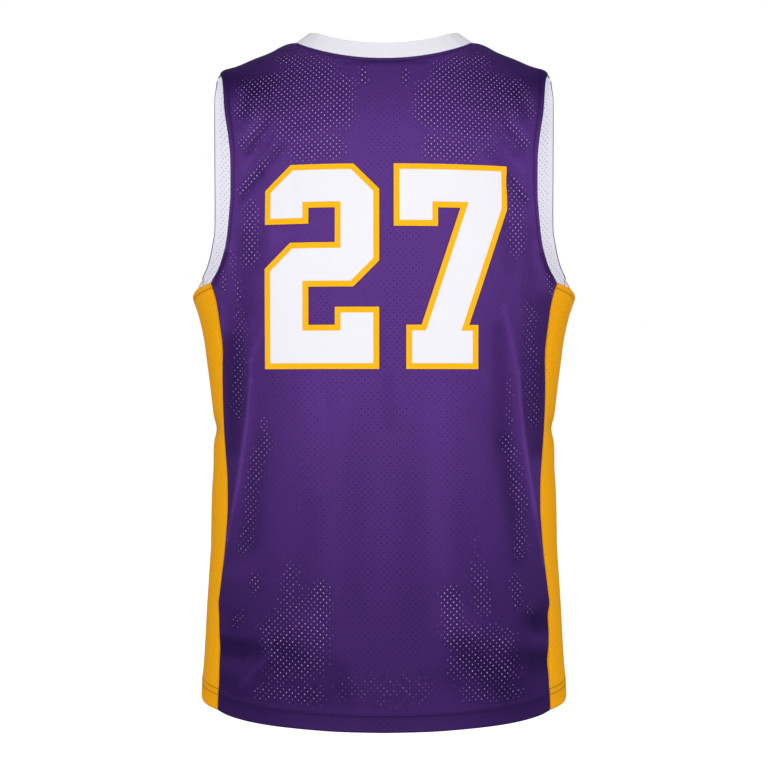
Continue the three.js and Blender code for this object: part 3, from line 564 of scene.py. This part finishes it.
def side_grid(side):
    """The same for the gold panel under an arm."""
    near = np.array([0.0, 0.4, 0.9, 1.6, 2.6]) / SIDE_PANEL_WIDTH
    inner = spaced(4.5 / SIDE_PANEL_WIDTH, 1 - 4.5 / SIDE_PANEL_WIDTH, COLUMN_PITCH / SIDE_PANEL_WIDTH)
    columns = []
    for across in np.concatenate([near, inner, 1 - near[::-1]]):
        def angle_at(z):
            back = trimmed(seam_angle(z, True), z, True, -1)
            front = trimmed(seam_angle(z, False), z, False, -1)
            return back + (front - back) * across

        hem = hem_at(angle_at(np.float64(HEM_SIDE_Z)))

        def path(t):
            z = hem + (underarm_at(across) - hem) * t
            return side * angle_at(z), z

        angle, z, along, from_top = along_path(path, lower_rows)
        from_seam = min(across, 1 - across) * SIDE_PANEL_WIDTH
        lift = edge_lift(along, HEM_DEPTH, HEM_STITCHES)
        lift = lift + edge_lift(from_top, ARMHOLE_BAND, ARMHOLE_STITCHES)
        painted_shading = 0.5 * (edge_painted_shade(along, HEM_STITCHES) + edge_painted_shade(from_top, ARMHOLE_STITCHES))
        clear = smooth((along - HEM_DEPTH) / 3) * smooth((from_top - ARMHOLE_BAND) / 2)
        columns.append(np.stack([angle, z, lift + seam_lift(from_seam), painted_shading + 0.4 * seam_painted_shade(from_seam),
                                 along, clear], axis=-1))
    return np.stack(columns, axis=1)


def stroke(row, x, z, softness):
    """1 on a stroke from (x0, z0) to (x1, z1), and 0 past its soft edge."""
    x0, z0, x1, z1, half_width = row[:5]
    dx, dz = x1 - x0, z1 - z0
    share = np.clip(((x - x0) * dx + (z - z0) * dz) / (dx * dx + dz * dz), 0, 1)
    away = np.hypot(x - x0 - share * dx, z - z0 - share * dz)
    return 1 - smooth((away - half_width * (1 - softness)) / (2 * half_width * softness))


def holes_showing(table, x, z):
    shown = np.zeros(np.broadcast(x, z).shape)
    for row in table:
        shown = np.maximum(shown, row[5] * stroke(row, x, z, 0.8))
    return shown


def painted_shading_share(painted_shading):
    """A painted shading value as the share of the lit colour in the cloth."""
    low, high = TONE_DEEP ** TONE_POWER, TONE_FULL ** TONE_POWER
    return np.clip((np.maximum(painted_shading, TONE_DEEP) ** TONE_POWER - low) / (high - low), 0, 1)


# Painted shade in fold troughs and painted highlight on fold ridges
def painted_fold_shading(grid):
    return PAINTED_SHADING_PER_FOLD_MM * fold_height(grid[..., ANGLE], grid[..., HEIGHT])


def purple_painted_shade_and_holes(grid, outer, on_back):
    """Painted shading, as the share of the lit colour, and how the holes show painted light and painted
    shade, over a purple panel.
    """
    x, z = outer[..., 0] * (1 if on_back else -1), outer[..., 2]
    light = holes_showing(LIGHT_HOLES, x, z)
    dark = np.maximum(holes_showing(DARK_HOLES, x, z), FAINT_HOLES)
    # Painted shading: lighter in the middle as a painted highlight, darker towards the sides, top and
    # bottom as painted shade
    to_side = smooth((np.abs(x) - TONE_MIDDLE_X) / (TONE_SIDE_X - TONE_MIDDLE_X))
    painted_shading = middle_painted_shading_at(z) * (1 - to_side) + side_painted_shading_at(z) * to_side
    painted_shading = painted_shading + painted_fold_shading(grid) - DOTTED_TONE * light
    # Painted shade and painted highlights laid on the back
    if on_back:
        for row in BACK_PAINTED_LIGHT_AND_SHADE:
            painted_shading = painted_shading + row[5] * stroke(row, x, z, 0.95)
    return np.stack([painted_shading_share(painted_shading + grid[..., SHADE]), light * grid[..., OPEN], dark], axis=-1)


def gold_painted_shade_and_holes(grid):
    """The same three values over a gold panel: painted shading, and holes that all show faint painted
    shade.
    """
    painted_shading = GOLD_PAINTED_SHADING + painted_fold_shading(grid) + grid[..., SHADE]
    return np.stack([painted_shading_share(painted_shading), np.zeros(painted_shading.shape), GOLD_HOLES * grid[..., OPEN]], axis=-1)


def shell(name, grid, painted_shade_and_holes_of, keep=None):
    """A thin closed wall over a grid of cloth. keep(points) holds it to its own side."""
    angle, z, lift = grid[..., ANGLE], grid[..., HEIGHT], grid[..., LIFT]
    outer = cloth_point(angle, z, lift)
    inner = cloth_point(angle, z, np.minimum(lift, 0) - WALL)
    if keep:
        outer, inner = keep(outer), keep(inner)
    flat = np.stack([arc_length(angle, z), grid[..., ALONG]], axis=-1)
    return closed_wall(name, outer, inner, flat, painted_shade_and_holes_of(outer), inside_painted_shade_and_holes(grid)), outer


def inside_painted_shade_and_holes(grid):
    """The same three values for the white inside of the mesh: a fixed painted shading, and holes in
    painted shade.
    """
    mesh = grid[..., OPEN]
    return np.stack([np.full(mesh.shape, INSIDE_PAINTED_SHADING), np.zeros(mesh.shape), INSIDE_HOLES * mesh], axis=-1)


def arc_length(angle, z):
    """Level distance along each row, from the middle of the row."""
    level = (z[:, 1:] + z[:, :-1]) / 2
    steps = np.linalg.norm(bare_point(angle[:, 1:], level) - bare_point(angle[:, :-1], level), axis=-1)
    along = np.concatenate([np.zeros((len(angle), 1)), np.cumsum(steps, axis=1)], axis=1)
    return along - along[:, [angle.shape[1] // 2]]


def closed_wall(name, outer, inner, flat, painted_shade_and_holes, inner_painted_shade_and_holes, looped=False):
    """A closed mesh between two grids. Its faces are material 0, and 1 inside."""
    rows, columns = outer.shape[:2]
    total = rows * columns
    verts = np.concatenate([outer.reshape(-1, 3), inner.reshape(-1, 3)]) * MM
    j, i = np.meshgrid(np.arange(rows - 1), np.arange(columns if looped else columns - 1), indexing="ij")
    k = (i + 1) % columns
    corners = (j * columns + i, j * columns + k, (j + 1) * columns + k, (j + 1) * columns + i)
    quads = np.stack(corners, -1).reshape(-1, 4)
    bottom = np.arange(columns)
    top = bottom + (rows - 1) * columns
    if looped:
        bottom, top = np.append(bottom, bottom[0]), np.append(top, top[0])
    rims = [bottom, top[::-1]]
    if not looped:
        left = np.arange(rows) * columns
        rims += [left[::-1], left + columns - 1]
    rim = np.concatenate([np.stack([a[1:], a[:-1], a[:-1] + total, a[1:] + total], -1) for a in rims])
    faces = np.concatenate([quads, quads[:, ::-1] + total, rim])
    mesh = bpy.data.meshes.new(name)
    mesh.from_pydata(verts.tolist(), [], faces.tolist())
    inside = np.zeros(len(faces), np.int32)
    inside[len(quads):2 * len(quads)] = 1
    mesh.polygons.foreach_set("material_index", inside)
    mesh.polygons.foreach_set("use_smooth", np.ones(len(faces), bool))
    coords = np.tile(flat.reshape(-1, 2), (2, 1))[faces.ravel()]
    mesh.uv_layers.new(name="cloth").data.foreach_set("uv", (coords * MM).ravel())
    # The painted shading and how the holes show, outside and inside, go into one colour attribute
    colours = np.ones((2 * total, 4))
    colours[:total, :3] = painted_shade_and_holes.reshape(-1, 3)
    colours[total:, :3] = inner_painted_shade_and_holes.reshape(-1, 3)
    mesh.color_attributes.new("painted_shade_and_holes", "FLOAT_COLOR", "POINT").data.foreach_set("color", colours.ravel())
    mesh.update()
    mesh.validate()
    return linked(name, mesh)


def linked(name, data):
    """A new object in the scene, of a mesh, a lamp or a camera."""
    made = bpy.data.objects.new(name, data)
    bpy.context.scene.collection.objects.link(made)
    return made


def stitches(name, runs):
    """Separate stitches along runs of (points, outward): short bars whose ends dip into the cloth."""
    share = np.array([0.0, 0.12, 0.5, 0.88, 1.0])
    rise = np.array([-0.35, 0.02, 0.16, 0.02, -0.35])
    around = np.arange(6) * math.pi / 3
    bars = []
    for points, outward in runs:
        at = np.concatenate([[0], np.cumsum(np.linalg.norm(np.diff(points, axis=0), axis=-1))])
        count = int(at[-1] / STITCH_PITCH)
        starts = (np.arange(count) + 0.5) * at[-1] / count - STITCH_LENGTH / 2
        where = starts[:, None] + share * STITCH_LENGTH
        centre, up = (np.stack([np.interp(where, at, v[:, k]) for k in range(3)], -1)
                      for v in (points, outward))
        up = unit(up)
        across = unit(np.cross(unit(np.gradient(centre, axis=1)), up))
        ring = (centre + up * rise[:, None])[:, :, None] + STITCH_RADIUS * (
            across[:, :, None] * np.cos(around)[:, None] + up[:, :, None] * np.sin(around)[:, None])
        bars.append(ring)
    rings = np.concatenate(bars)
    faces = []
    for first in range(0, len(rings) * 30, 30):
        for j in range(4):
            for i in range(6):
                a, b = first + j * 6 + i, first + j * 6 + (i + 1) % 6
                faces.append((a, b, b + 6, a + 6))
        faces += [tuple(range(first + 5, first - 1, -1)), tuple(range(first + 24, first + 30))]
    mesh = bpy.data.meshes.new(name)
    mesh.from_pydata((rings.reshape(-1, 3) * MM).tolist(), [], faces)
    mesh.polygons.foreach_set("use_smooth", np.ones(len(faces), bool))
    return linked(name, mesh)


def stitch_runs(grid, outer, on_panel):
    """Where the stitch lines run over a grid: along the hem, the armholes and the neck."""
    outward = outward_at(grid[..., ANGLE], grid[..., HEIGHT])
    rows, columns = outer.shape[:2]
    underarm = len(HEM_STEPS) + LOWER_ROWS + len(ARMHOLE_STEPS) - 1
    picks = [(HEM_STEPS.index(line), slice(None)) for line in HEM_STITCHES]
    if on_panel:
        at = ARMHOLE_STEPS.index(ARMHOLE_STITCHES[0])
        picks += [(slice(underarm, None), at), (slice(underarm, None), columns - 1 - at)]
        in_neck = np.flatnonzero(np.abs(column_shares()) * SHOULDER_TIP_X < NECK_SIDE_X)
        picks.append((rows - 1 - NECK_STEPS.index(NECK_STITCHES[0]), in_neck))
    else:
        picks.append((rows - 1 - ARMHOLE_STEPS.index(ARMHOLE_STITCHES[0]), slice(None)))
    return [(outer[pick], outward[pick]) for pick in picks]


# Materials
class Nodes:
    """A small helper that builds a material's nodes."""

    def __init__(self, name):
        self.material = bpy.data.materials.new(name)
        self.material.use_nodes = True
        self.tree = self.material.node_tree
        self.shader = self.tree.nodes["Principled BSDF"]

    def add(self, kind, **values):
        node = self.tree.nodes.new(kind)
        for key, value in values.items():
            setattr(node, key, value)
        return node

    def link(self, source, target):
        self.tree.links.new(source, target)

    def value(self, target, source):
        if isinstance(source, (int, float, tuple)):
            target.default_value = source
        else:
            self.link(source, target)

    def math(self, operation, a, b=0.0, clamp=False):
        node = self.add("ShaderNodeMath", operation=operation, use_clamp=clamp)
        self.value(node.inputs[0], a)
        self.value(node.inputs[1], b)
        return node.outputs[0]

    def times(self, a, b, clamp=False):
        return self.math("MULTIPLY", a, b, clamp)

    def plus(self, a, b):
        return self.math("ADD", a, b)

    def minus(self, a, b):
        return self.math("SUBTRACT", a, b)

    def mix(self, share, a, b):
        node = self.add("ShaderNodeMix", data_type="RGBA")
        self.value(node.inputs["Factor"], share)
        for socket, source in ((node.inputs[6], a), (node.inputs[7], b)):
            self.value(socket, source)
        return node.outputs[2]

    def on_cloth(self):
        """Where a place lies on the flat cloth, in metres."""
        return self.add("ShaderNodeUVMap", uv_map="cloth").outputs[0]

    def surface(self, colour, roughness, specular, height, strength, depth):
        """The colour, its gloss, and a bump from the height."""
        self.link(colour, self.shader.inputs["Base Color"])
        self.shader.inputs["Roughness"].default_value = roughness
        self.shader.inputs["Specular IOR Level"].default_value = specular
        bump = self.add("ShaderNodeBump")
        bump.inputs["Strength"].default_value = strength
        bump.inputs["Distance"].default_value = depth * MM
        self.link(height, bump.inputs["Height"])
        self.link(bump.outputs[0], self.shader.inputs["Normal"])
        return self.material

    def noise(self, scale, detail, vector=None):
        node = self.add("ShaderNodeTexNoise")
        node.inputs["Scale"].default_value = scale
        node.inputs["Detail"].default_value = detail
        if vector is not None:
            self.link(vector, node.inputs["Vector"])
        return node.outputs["Fac"]


def rgba(r, g, b):
    """A display colour, 0 to 255, as the shader's linear colour."""
    def linear(v):
        v = v / 255
        return v / 12.92 if v <= 0.04045 else ((v + 0.055) / 1.055) ** 2.4
    return (linear(r), linear(g), linear(b), 1.0)


def holes(n, light, dark):
    """How much painted light and painted shade the mesh's small holes show at each place. They differ from
    hole to hole.
    """
    parts = n.add("ShaderNodeSeparateXYZ")
    n.link(n.on_cloth(), parts.inputs[0])
    pitch = HOLE_PITCH * MM
    shown = [None, None]
    for shift in (0.0, 0.5):
        away = []
        cell_of = n.add("ShaderNodeCombineXYZ")
        cell_of.inputs[2].default_value = 7 * shift
        for k, reach in enumerate((1.0, HOLE_TALL)):
            place = n.plus(n.math("DIVIDE", parts.outputs[k], pitch), shift + 100.0)
            n.link(n.math("FLOOR", place), cell_of.inputs[k])
            off = n.minus(n.math("FRACT", place), 0.5)
            away.append(n.math("POWER", n.times(off, HOLE_PITCH / reach), 2.0))
        random = n.add("ShaderNodeTexWhiteNoise")
        n.link(cell_of.outputs[0], random.inputs["Vector"])
        chance = random.outputs["Value"]
        distance = n.math("SQRT", n.plus(*away))
        inside_by = n.minus(HOLE_RADIUS * (1 + HOLE_FADE / 2), distance)
        hole = n.math("DIVIDE", inside_by, HOLE_RADIUS * HOLE_FADE, clamp=True)
        brightness = n.minus(BRIGHT, n.times(chance, UNEVEN))
        dropped = n.times(chance, DROP)
        for k, amount in enumerate((light, dark)):
            left = n.minus(n.times(amount, SHOW), dropped)
            clear = n.math("DIVIDE", left, CLEAR, clamp=True)
            seen = n.times(hole, n.times(clear, brightness))
            shown[k] = seen if shown[k] is None else n.math("MAXIMUM", shown[k], seen)
    return shown


def knit(n, across, along):
    """Uneven columns of stitches: noise that is stretched along the cloth."""
    place = n.add("ShaderNodeMapping")
    n.link(n.on_cloth(), place.inputs["Vector"])
    place.inputs["Scale"].default_value = (across, along, 1)
    return n.noise(1.0, 2.0, place.outputs[0])


def cloth_material(name, deep, lit, hole_light_colour, hole_shade_colour, streaks=0.3, specular=0.1):
    """Mesh cloth. A colour attribute gives the painted shading, as the share of the lit colour between a
    painted shade copy and a lit copy of the colour, and how much the holes show painted light and painted
    shade.
    """
    n = Nodes(name)
    painted_shade_and_holes = n.add("ShaderNodeSeparateColor")
    n.link(n.add("ShaderNodeAttribute", attribute_name="painted_shade_and_holes").outputs["Color"], painted_shade_and_holes.inputs[0])
    painted_shading, light, dark = painted_shade_and_holes.outputs[:3]
    uneven = n.times(n.minus(knit(n, 420.0, 150.0), 0.5), streaks)
    cloudy = n.times(n.minus(n.noise(45.0, 3.0), 0.5), 0.5 * streaks)
    share = n.times(painted_shading, n.plus(1.0, n.plus(uneven, cloudy)), clamp=True)
    colour = n.mix(share, deep, lit)
    light_shown, dark_shown = holes(n, light, dark)
    colour = n.mix(dark_shown, colour, hole_shade_colour)
    colour = n.mix(light_shown, colour, hole_light_colour)
    height = n.minus(n.times(knit(n, 900.0, 500.0), 0.35), dark_shown)
    return n.surface(colour, 0.62, specular, height, 0.3, 0.5)


def plain_material(name, colour, pattern, specular=0.2, variation=0.06):
    """Rib, twill or thread: one colour, slightly uneven, over a fine raised pattern."""
    n = Nodes(name)
    darker = tuple(0.6 * c for c in colour[:3]) + (1.0,)
    shade = n.times(n.noise(60.0, 3.0), variation)
    return n.surface(n.mix(shade, colour, darker), 0.6, specular, pattern(n), 0.2, 0.2)


def waves(n, direction, pitch, vector):
    wave = n.add("ShaderNodeTexWave", bands_direction=direction)
    wave.inputs["Scale"].default_value = math.pi / 10 / (pitch * MM)
    n.link(vector, wave.inputs["Vector"])
    return wave.outputs["Fac"]


def rib_pattern(n):
    """Fine ribs that run across the collar band."""
    return waves(n, "X", 1.3, n.on_cloth())


def twill_pattern(n):
    """Fine diagonal lines."""
    return waves(n, "DIAGONAL", 0.9, n.add("ShaderNodeTexCoord").outputs["Object"])


# Each cloth: its painted shade copy and its lit copy of one colour, which the painted shading mixes, then
# the colours of holes in painted light and in painted shade
purple_cloth = cloth_material("purple_mesh", rgba(31, 5, 64), rgba(88, 49, 130), rgba(205, 170, 238),
                              rgba(20, 2, 50))
gold_cloth = cloth_material("gold_mesh", rgba(150, 84, 4), rgba(246, 171, 12), rgba(255, 235, 160),
                            rgba(176, 112, 10), streaks=0.12, specular=0.04)
inside_cloth = cloth_material("white_inside_mesh", rgba(196, 194, 204), rgba(238, 237, 243),
                              rgba(250, 250, 250), rgba(104, 98, 118), streaks=0.1)
rib_white = plain_material("white_rib", rgba(231, 230, 238), rib_pattern)
twill_gold = plain_material("gold_twill", rgba(254, 183, 20), twill_pattern, 0.04, 0.02)
twill_white = plain_material("white_twill", rgba(234, 233, 239), twill_pattern, 0.1, 0.01)
purple_thread = plain_material("purple_thread", rgba(58, 34, 92), twill_pattern)
brown_thread = plain_material("brown_thread", rgba(128, 68, 10), twill_pattern)


def finish_piece(piece, node, slot, *materials):
    """Gives a piece its materials. node is the solid that it stands for, if any. slot is not used."""
    for material in materials:
        piece.data.materials.append(material)
    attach(piece, "root")
    if node:
        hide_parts(node)
    return piece


def own_side(on_back):
    def keep(points):
        y = points[..., 1]
        points[..., 1] = np.minimum(y, -RIDGE_GAP) if on_back else np.maximum(y, RIDGE_GAP)
        return points
    return keep


def add_panel(node, grid, painted_shade_and_holes_of, keep, slot, cloth, thread):
    """A panel's cloth and its stitches."""
    piece, outer = shell(node + "_cloth", grid, painted_shade_and_holes_of, keep)
    finish_piece(piece, node, slot, cloth, inside_cloth)
    lines = stitches(node + "_stitches", stitch_runs(grid, outer, slot == "purple_mesh"))
    finish_piece(lines, None, slot, thread)


for node, on_back in (("back_panel", True), ("front_panel", False)):
    grid = panel_grid(on_back)
    add_panel(node, grid, lambda points: purple_painted_shade_and_holes(grid, points, on_back), own_side(on_back),
              "purple_mesh", purple_cloth, purple_thread)
for node, side in (("side_panel_left", -1), ("side_panel_right", 1)):
    grid = side_grid(side)
    add_panel(node, grid, lambda points: gold_painted_shade_and_holes(grid), None, "gold_mesh", gold_cloth, brown_thread)


def collar_piece():
    """The neck band, a ring that carries the cloth on past the neck seam."""
    x_of = NECK_SIDE_X * np.sin(np.linspace(-1, 1, 161)[1:-1] * math.pi / 2)
    stations = [(x, True) for x in x_of] + [(NECK_SIDE_X, None)]
    stations += [(x, False) for x in x_of[::-1]] + [(-NECK_SIDE_X, None)]
    angle, z = [], []
    for x, on_back in stations:
        corner = on_back is None
        height = NECK_SIDE_Z if corner else float(neck_seam_at(x, on_back))
        z.append(height)
        angle.append(float(angle_of(x, height, corner or on_back)))
    angle, z = np.array(angle), np.array(z)
    seam = bare_point(angle, z)
    onward = np.roll(seam, -1, axis=0) - np.roll(seam, 1, axis=0)
    outward = outward_at(angle, z, collar_lean_at)
    inward = unit(np.cross(outward, onward))
    steps = np.concatenate([[0.3, 0.6, 1.1, 1.8, 2.8], spaced(5, COLLAR_WIDTH - 3, 2.4),
                            COLLAR_WIDTH - np.array([1.8, 1.0, 0.45, 0.1])])
    outer, inner = [], []
    from_corner = (NECK_SIDE_X - np.abs(seam[:, :1])) / COLLAR_CORNER_REACH
    rounded = 1 - COLLAR_CORNER_DROP * np.exp(-from_corner ** 2)
    for reach in steps:
        middle = seam + inward * reach * rounded
        near = min(reach - 0.3, COLLAR_WIDTH - reach)
        half_wall = COLLAR_WALL / 2 * math.sqrt(max(1 - (1 - min(near / 1.1, 1)) ** 2, 0.02))
        centre = middle + outward * (COLLAR_LIFT - COLLAR_WALL / 2)
        outer.append(centre + outward * half_wall)
        inner.append(centre - outward * half_wall)
    along = np.concatenate([[0], np.cumsum(np.linalg.norm(np.diff(seam, axis=0), axis=-1))])
    flat = np.stack(np.broadcast_arrays(along[None, :], steps[:, None]), axis=-1)
    plain = np.zeros(flat.shape[:2] + (3,))
    return closed_wall("collar_band", np.array(outer), np.array(inner), flat, plain, plain, looped=True)


collar = finish_piece(collar_piece(), "collar", "white_rib", rib_white, rib_white)


def two_outline():
    h, s, c, w = DIGIT_HEIGHT, DIGIT_STROKE, DIGIT_CHAMFER, TWO["width"]
    top, bottom, hook, foot = TWO["mid_top"], TWO["mid_bottom"], TWO["hook"], TWO["foot"]
    return [(0, 0), (w, 0), (w, foot), (w - s, foot), (w - s, s), (s, s), (s, bottom), (w - c, bottom),
            (w, bottom + c), (w, h - c), (w - c, h), (c, h), (0, h - c), (0, hook), (s, hook), (s, h - s),
            (w - s, h - s), (w - s, top), (c, top), (0, top - c)]


def seven_outline():
    h, s, w = DIGIT_HEIGHT, DIGIT_STROKE, SEVEN["width"]
    hook, stem_top, stem_bottom = SEVEN["hook"], SEVEN["stem_top"], SEVEN["stem_bottom"]
    left, right = SEVEN["foot_left"], SEVEN["foot_right"]
    return [(left, 0), (right, 0), (right, s), (w - (stem_top - stem_bottom), s), (w, h - s), (w, h),
            (0, h), (0, hook), (s, hook), (s, h - s), (stem_top, h - s), (stem_bottom, s), (left, s)]


def inset(outline, by):
    """The outline with every edge moved in."""
    p = np.array(outline, float)
    along = unit(np.roll(p, -1, axis=0) - p)
    start = p + np.stack([-along[:, 1], along[:, 0]], -1) * by
    points = []
    for k in range(len(p)):
        a, da, b, db = start[k - 1], along[k - 1], start[k], along[k]
        cross = da[0] * db[1] - da[1] * db[0]
        t = ((b[0] - a[0]) * db[1] - (b[1] - a[1]) * db[0]) / cross
        points.append(tuple(a + da * t))
    return points


def twill_piece(name, outline, left, lift):
    """A layer of twill over the back, cut to the outline."""
    bm = bmesh.new()
    face = bm.faces.new([bm.verts.new((x + left, 0, z + DIGIT_BOTTOM_Z)) for x, z in outline])
    bm.normal_update()
    if face.normal.y > 0:
        face.normal_flip()
    low, high = np.array(outline).min(axis=0), np.array(outline).max(axis=0)
    for axis, shift in ((0, left), (1, DIGIT_BOTTOM_Z)):
        normal = (1, 0, 0) if axis == 0 else (0, 0, 1)
        for at in spaced(low[axis] + shift, high[axis] + shift, TWILL_CELL)[1:-1]:
            bmesh.ops.bisect_plane(bm, geom=bm.verts[:] + bm.edges[:] + bm.faces[:],
                                   plane_co=[at * part for part in normal], plane_no=normal)
    x, z = np.array([(v.co.x, v.co.z) for v in bm.verts]).T
    angle = angle_of(x, z, True)
    under, over = cloth_point(angle, z, lift), cloth_point(angle, z, lift + TWILL)
    tops = list(bm.verts)
    for v, p in zip(tops, over):
        v.co = p * MM
    copied = bmesh.ops.duplicate(bm, geom=bm.verts[:] + bm.edges[:] + bm.faces[:])
    below = copied["vert_map"]
    for v, p in zip(tops, under):
        below[v].co = p * MM
    bmesh.ops.reverse_faces(bm, faces=[g for g in copied["geom"] if isinstance(g, bmesh.types.BMFace)])
    top_set = set(tops)
    for edge in [e for e in bm.edges if e.is_boundary and set(e.verts) <= top_set]:
        a, b = edge.verts
        if edge.link_loops[0].vert is a:
            a, b = b, a
        bm.faces.new([a, b, below[b], below[a]])
    mesh = bpy.data.meshes.new(name)
    bm.to_mesh(mesh)
    bm.free()
    return linked(name, mesh)


for name, outline, sizes in (("two", two_outline(), TWO), ("seven", seven_outline(), SEVEN)):
    backing = twill_piece(f"number_{name}_gold", outline, sizes["left"], BACKING_LIFT)
    finish_piece(backing, f"number_{name}_backing", "gold_twill", twill_gold)
    face = twill_piece(f"number_{name}_white", inset(outline, DIGIT_BORDER), sizes["left"], FACE_LIFT)
    finish_piece(face, f"number_{name}_face", "white_twill", twill_white)


# Camera, light and floor
def add_camera():
    data = bpy.data.cameras.new("camera")
    data.lens = SENSOR * CAMERA_DISTANCE / SEEN_WIDTH
    data.sensor_width = SENSOR
    data.clip_end = 50
    camera = linked("camera", data)
    camera.location = (0, -CAMERA_DISTANCE * MM, CAMERA_Z * MM)
    camera.rotation_euler = (math.radians(90), 0, 0)
    bpy.context.scene.camera = camera


def add_light(name, place, target, size, watts):
    """A soft rectangular lamp, in metres, that faces its target."""
    data = bpy.data.lights.new(name, "AREA")
    data.shape = "RECTANGLE"
    data.size, data.size_y = size
    data.energy = watts
    light = linked(name, data)
    light.location = place
    x, y, z = unit(np.subtract(target, place))
    light.rotation_euler = (math.acos(-z), 0, math.atan2(-x, y))


def add_inside_light():
    """Soft light in the hollow, as white cloth throws back."""
    data = bpy.data.lights.new("inside", "POINT")
    data.energy = INSIDE_WATTS
    data.shadow_soft_size = 0.06
    light = linked("inside", data)
    light.location = (0, 0, -0.16)
    light.visible_camera = False


def add_floor():
    mesh = bpy.data.meshes.new("floor")
    corners = [(x * FLOOR_HALF, y * FLOOR_HALF, FLOOR_Z) for x, y in ((-1, -1), (1, -1), (1, 1), (-1, 1))]
    mesh.from_pydata(corners, [], [(0, 1, 2, 3)])
    floor = linked("floor", mesh)
    n = Nodes("floor")
    n.shader.inputs["Base Color"].default_value = (0.8, 0.8, 0.8, 1)
    n.shader.inputs["Emission Color"].default_value = (1, 1, 1, 1)
    seen = n.add("ShaderNodeLightPath").outputs["Is Camera Ray"]
    n.link(n.times(seen, 0.8), n.shader.inputs["Emission Strength"])
    mesh.materials.append(n.material)


def add_world():
    """Even soft light, and a white background where the camera sees it."""
    world = bpy.data.worlds.new("studio")
    bpy.context.scene.world = world
    world.use_nodes = True
    tree = world.node_tree
    background = tree.nodes["Background"]
    background.inputs["Color"].default_value = (1, 1, 1, 1)
    seen = tree.nodes.new("ShaderNodeLightPath")
    strength = tree.nodes.new("ShaderNodeMapRange")
    strength.inputs["To Min"].default_value = AMBIENT
    strength.inputs["To Max"].default_value = 1.0
    tree.links.new(seen.outputs["Is Camera Ray"], strength.inputs["Value"])
    tree.links.new(strength.outputs[0], background.inputs["Strength"])


add_camera()
add_floor()
for lamp in LAMPS:
    add_light(*lamp)
add_inside_light()
add_world()
bpy.context.scene.view_settings.view_transform = "Standard"
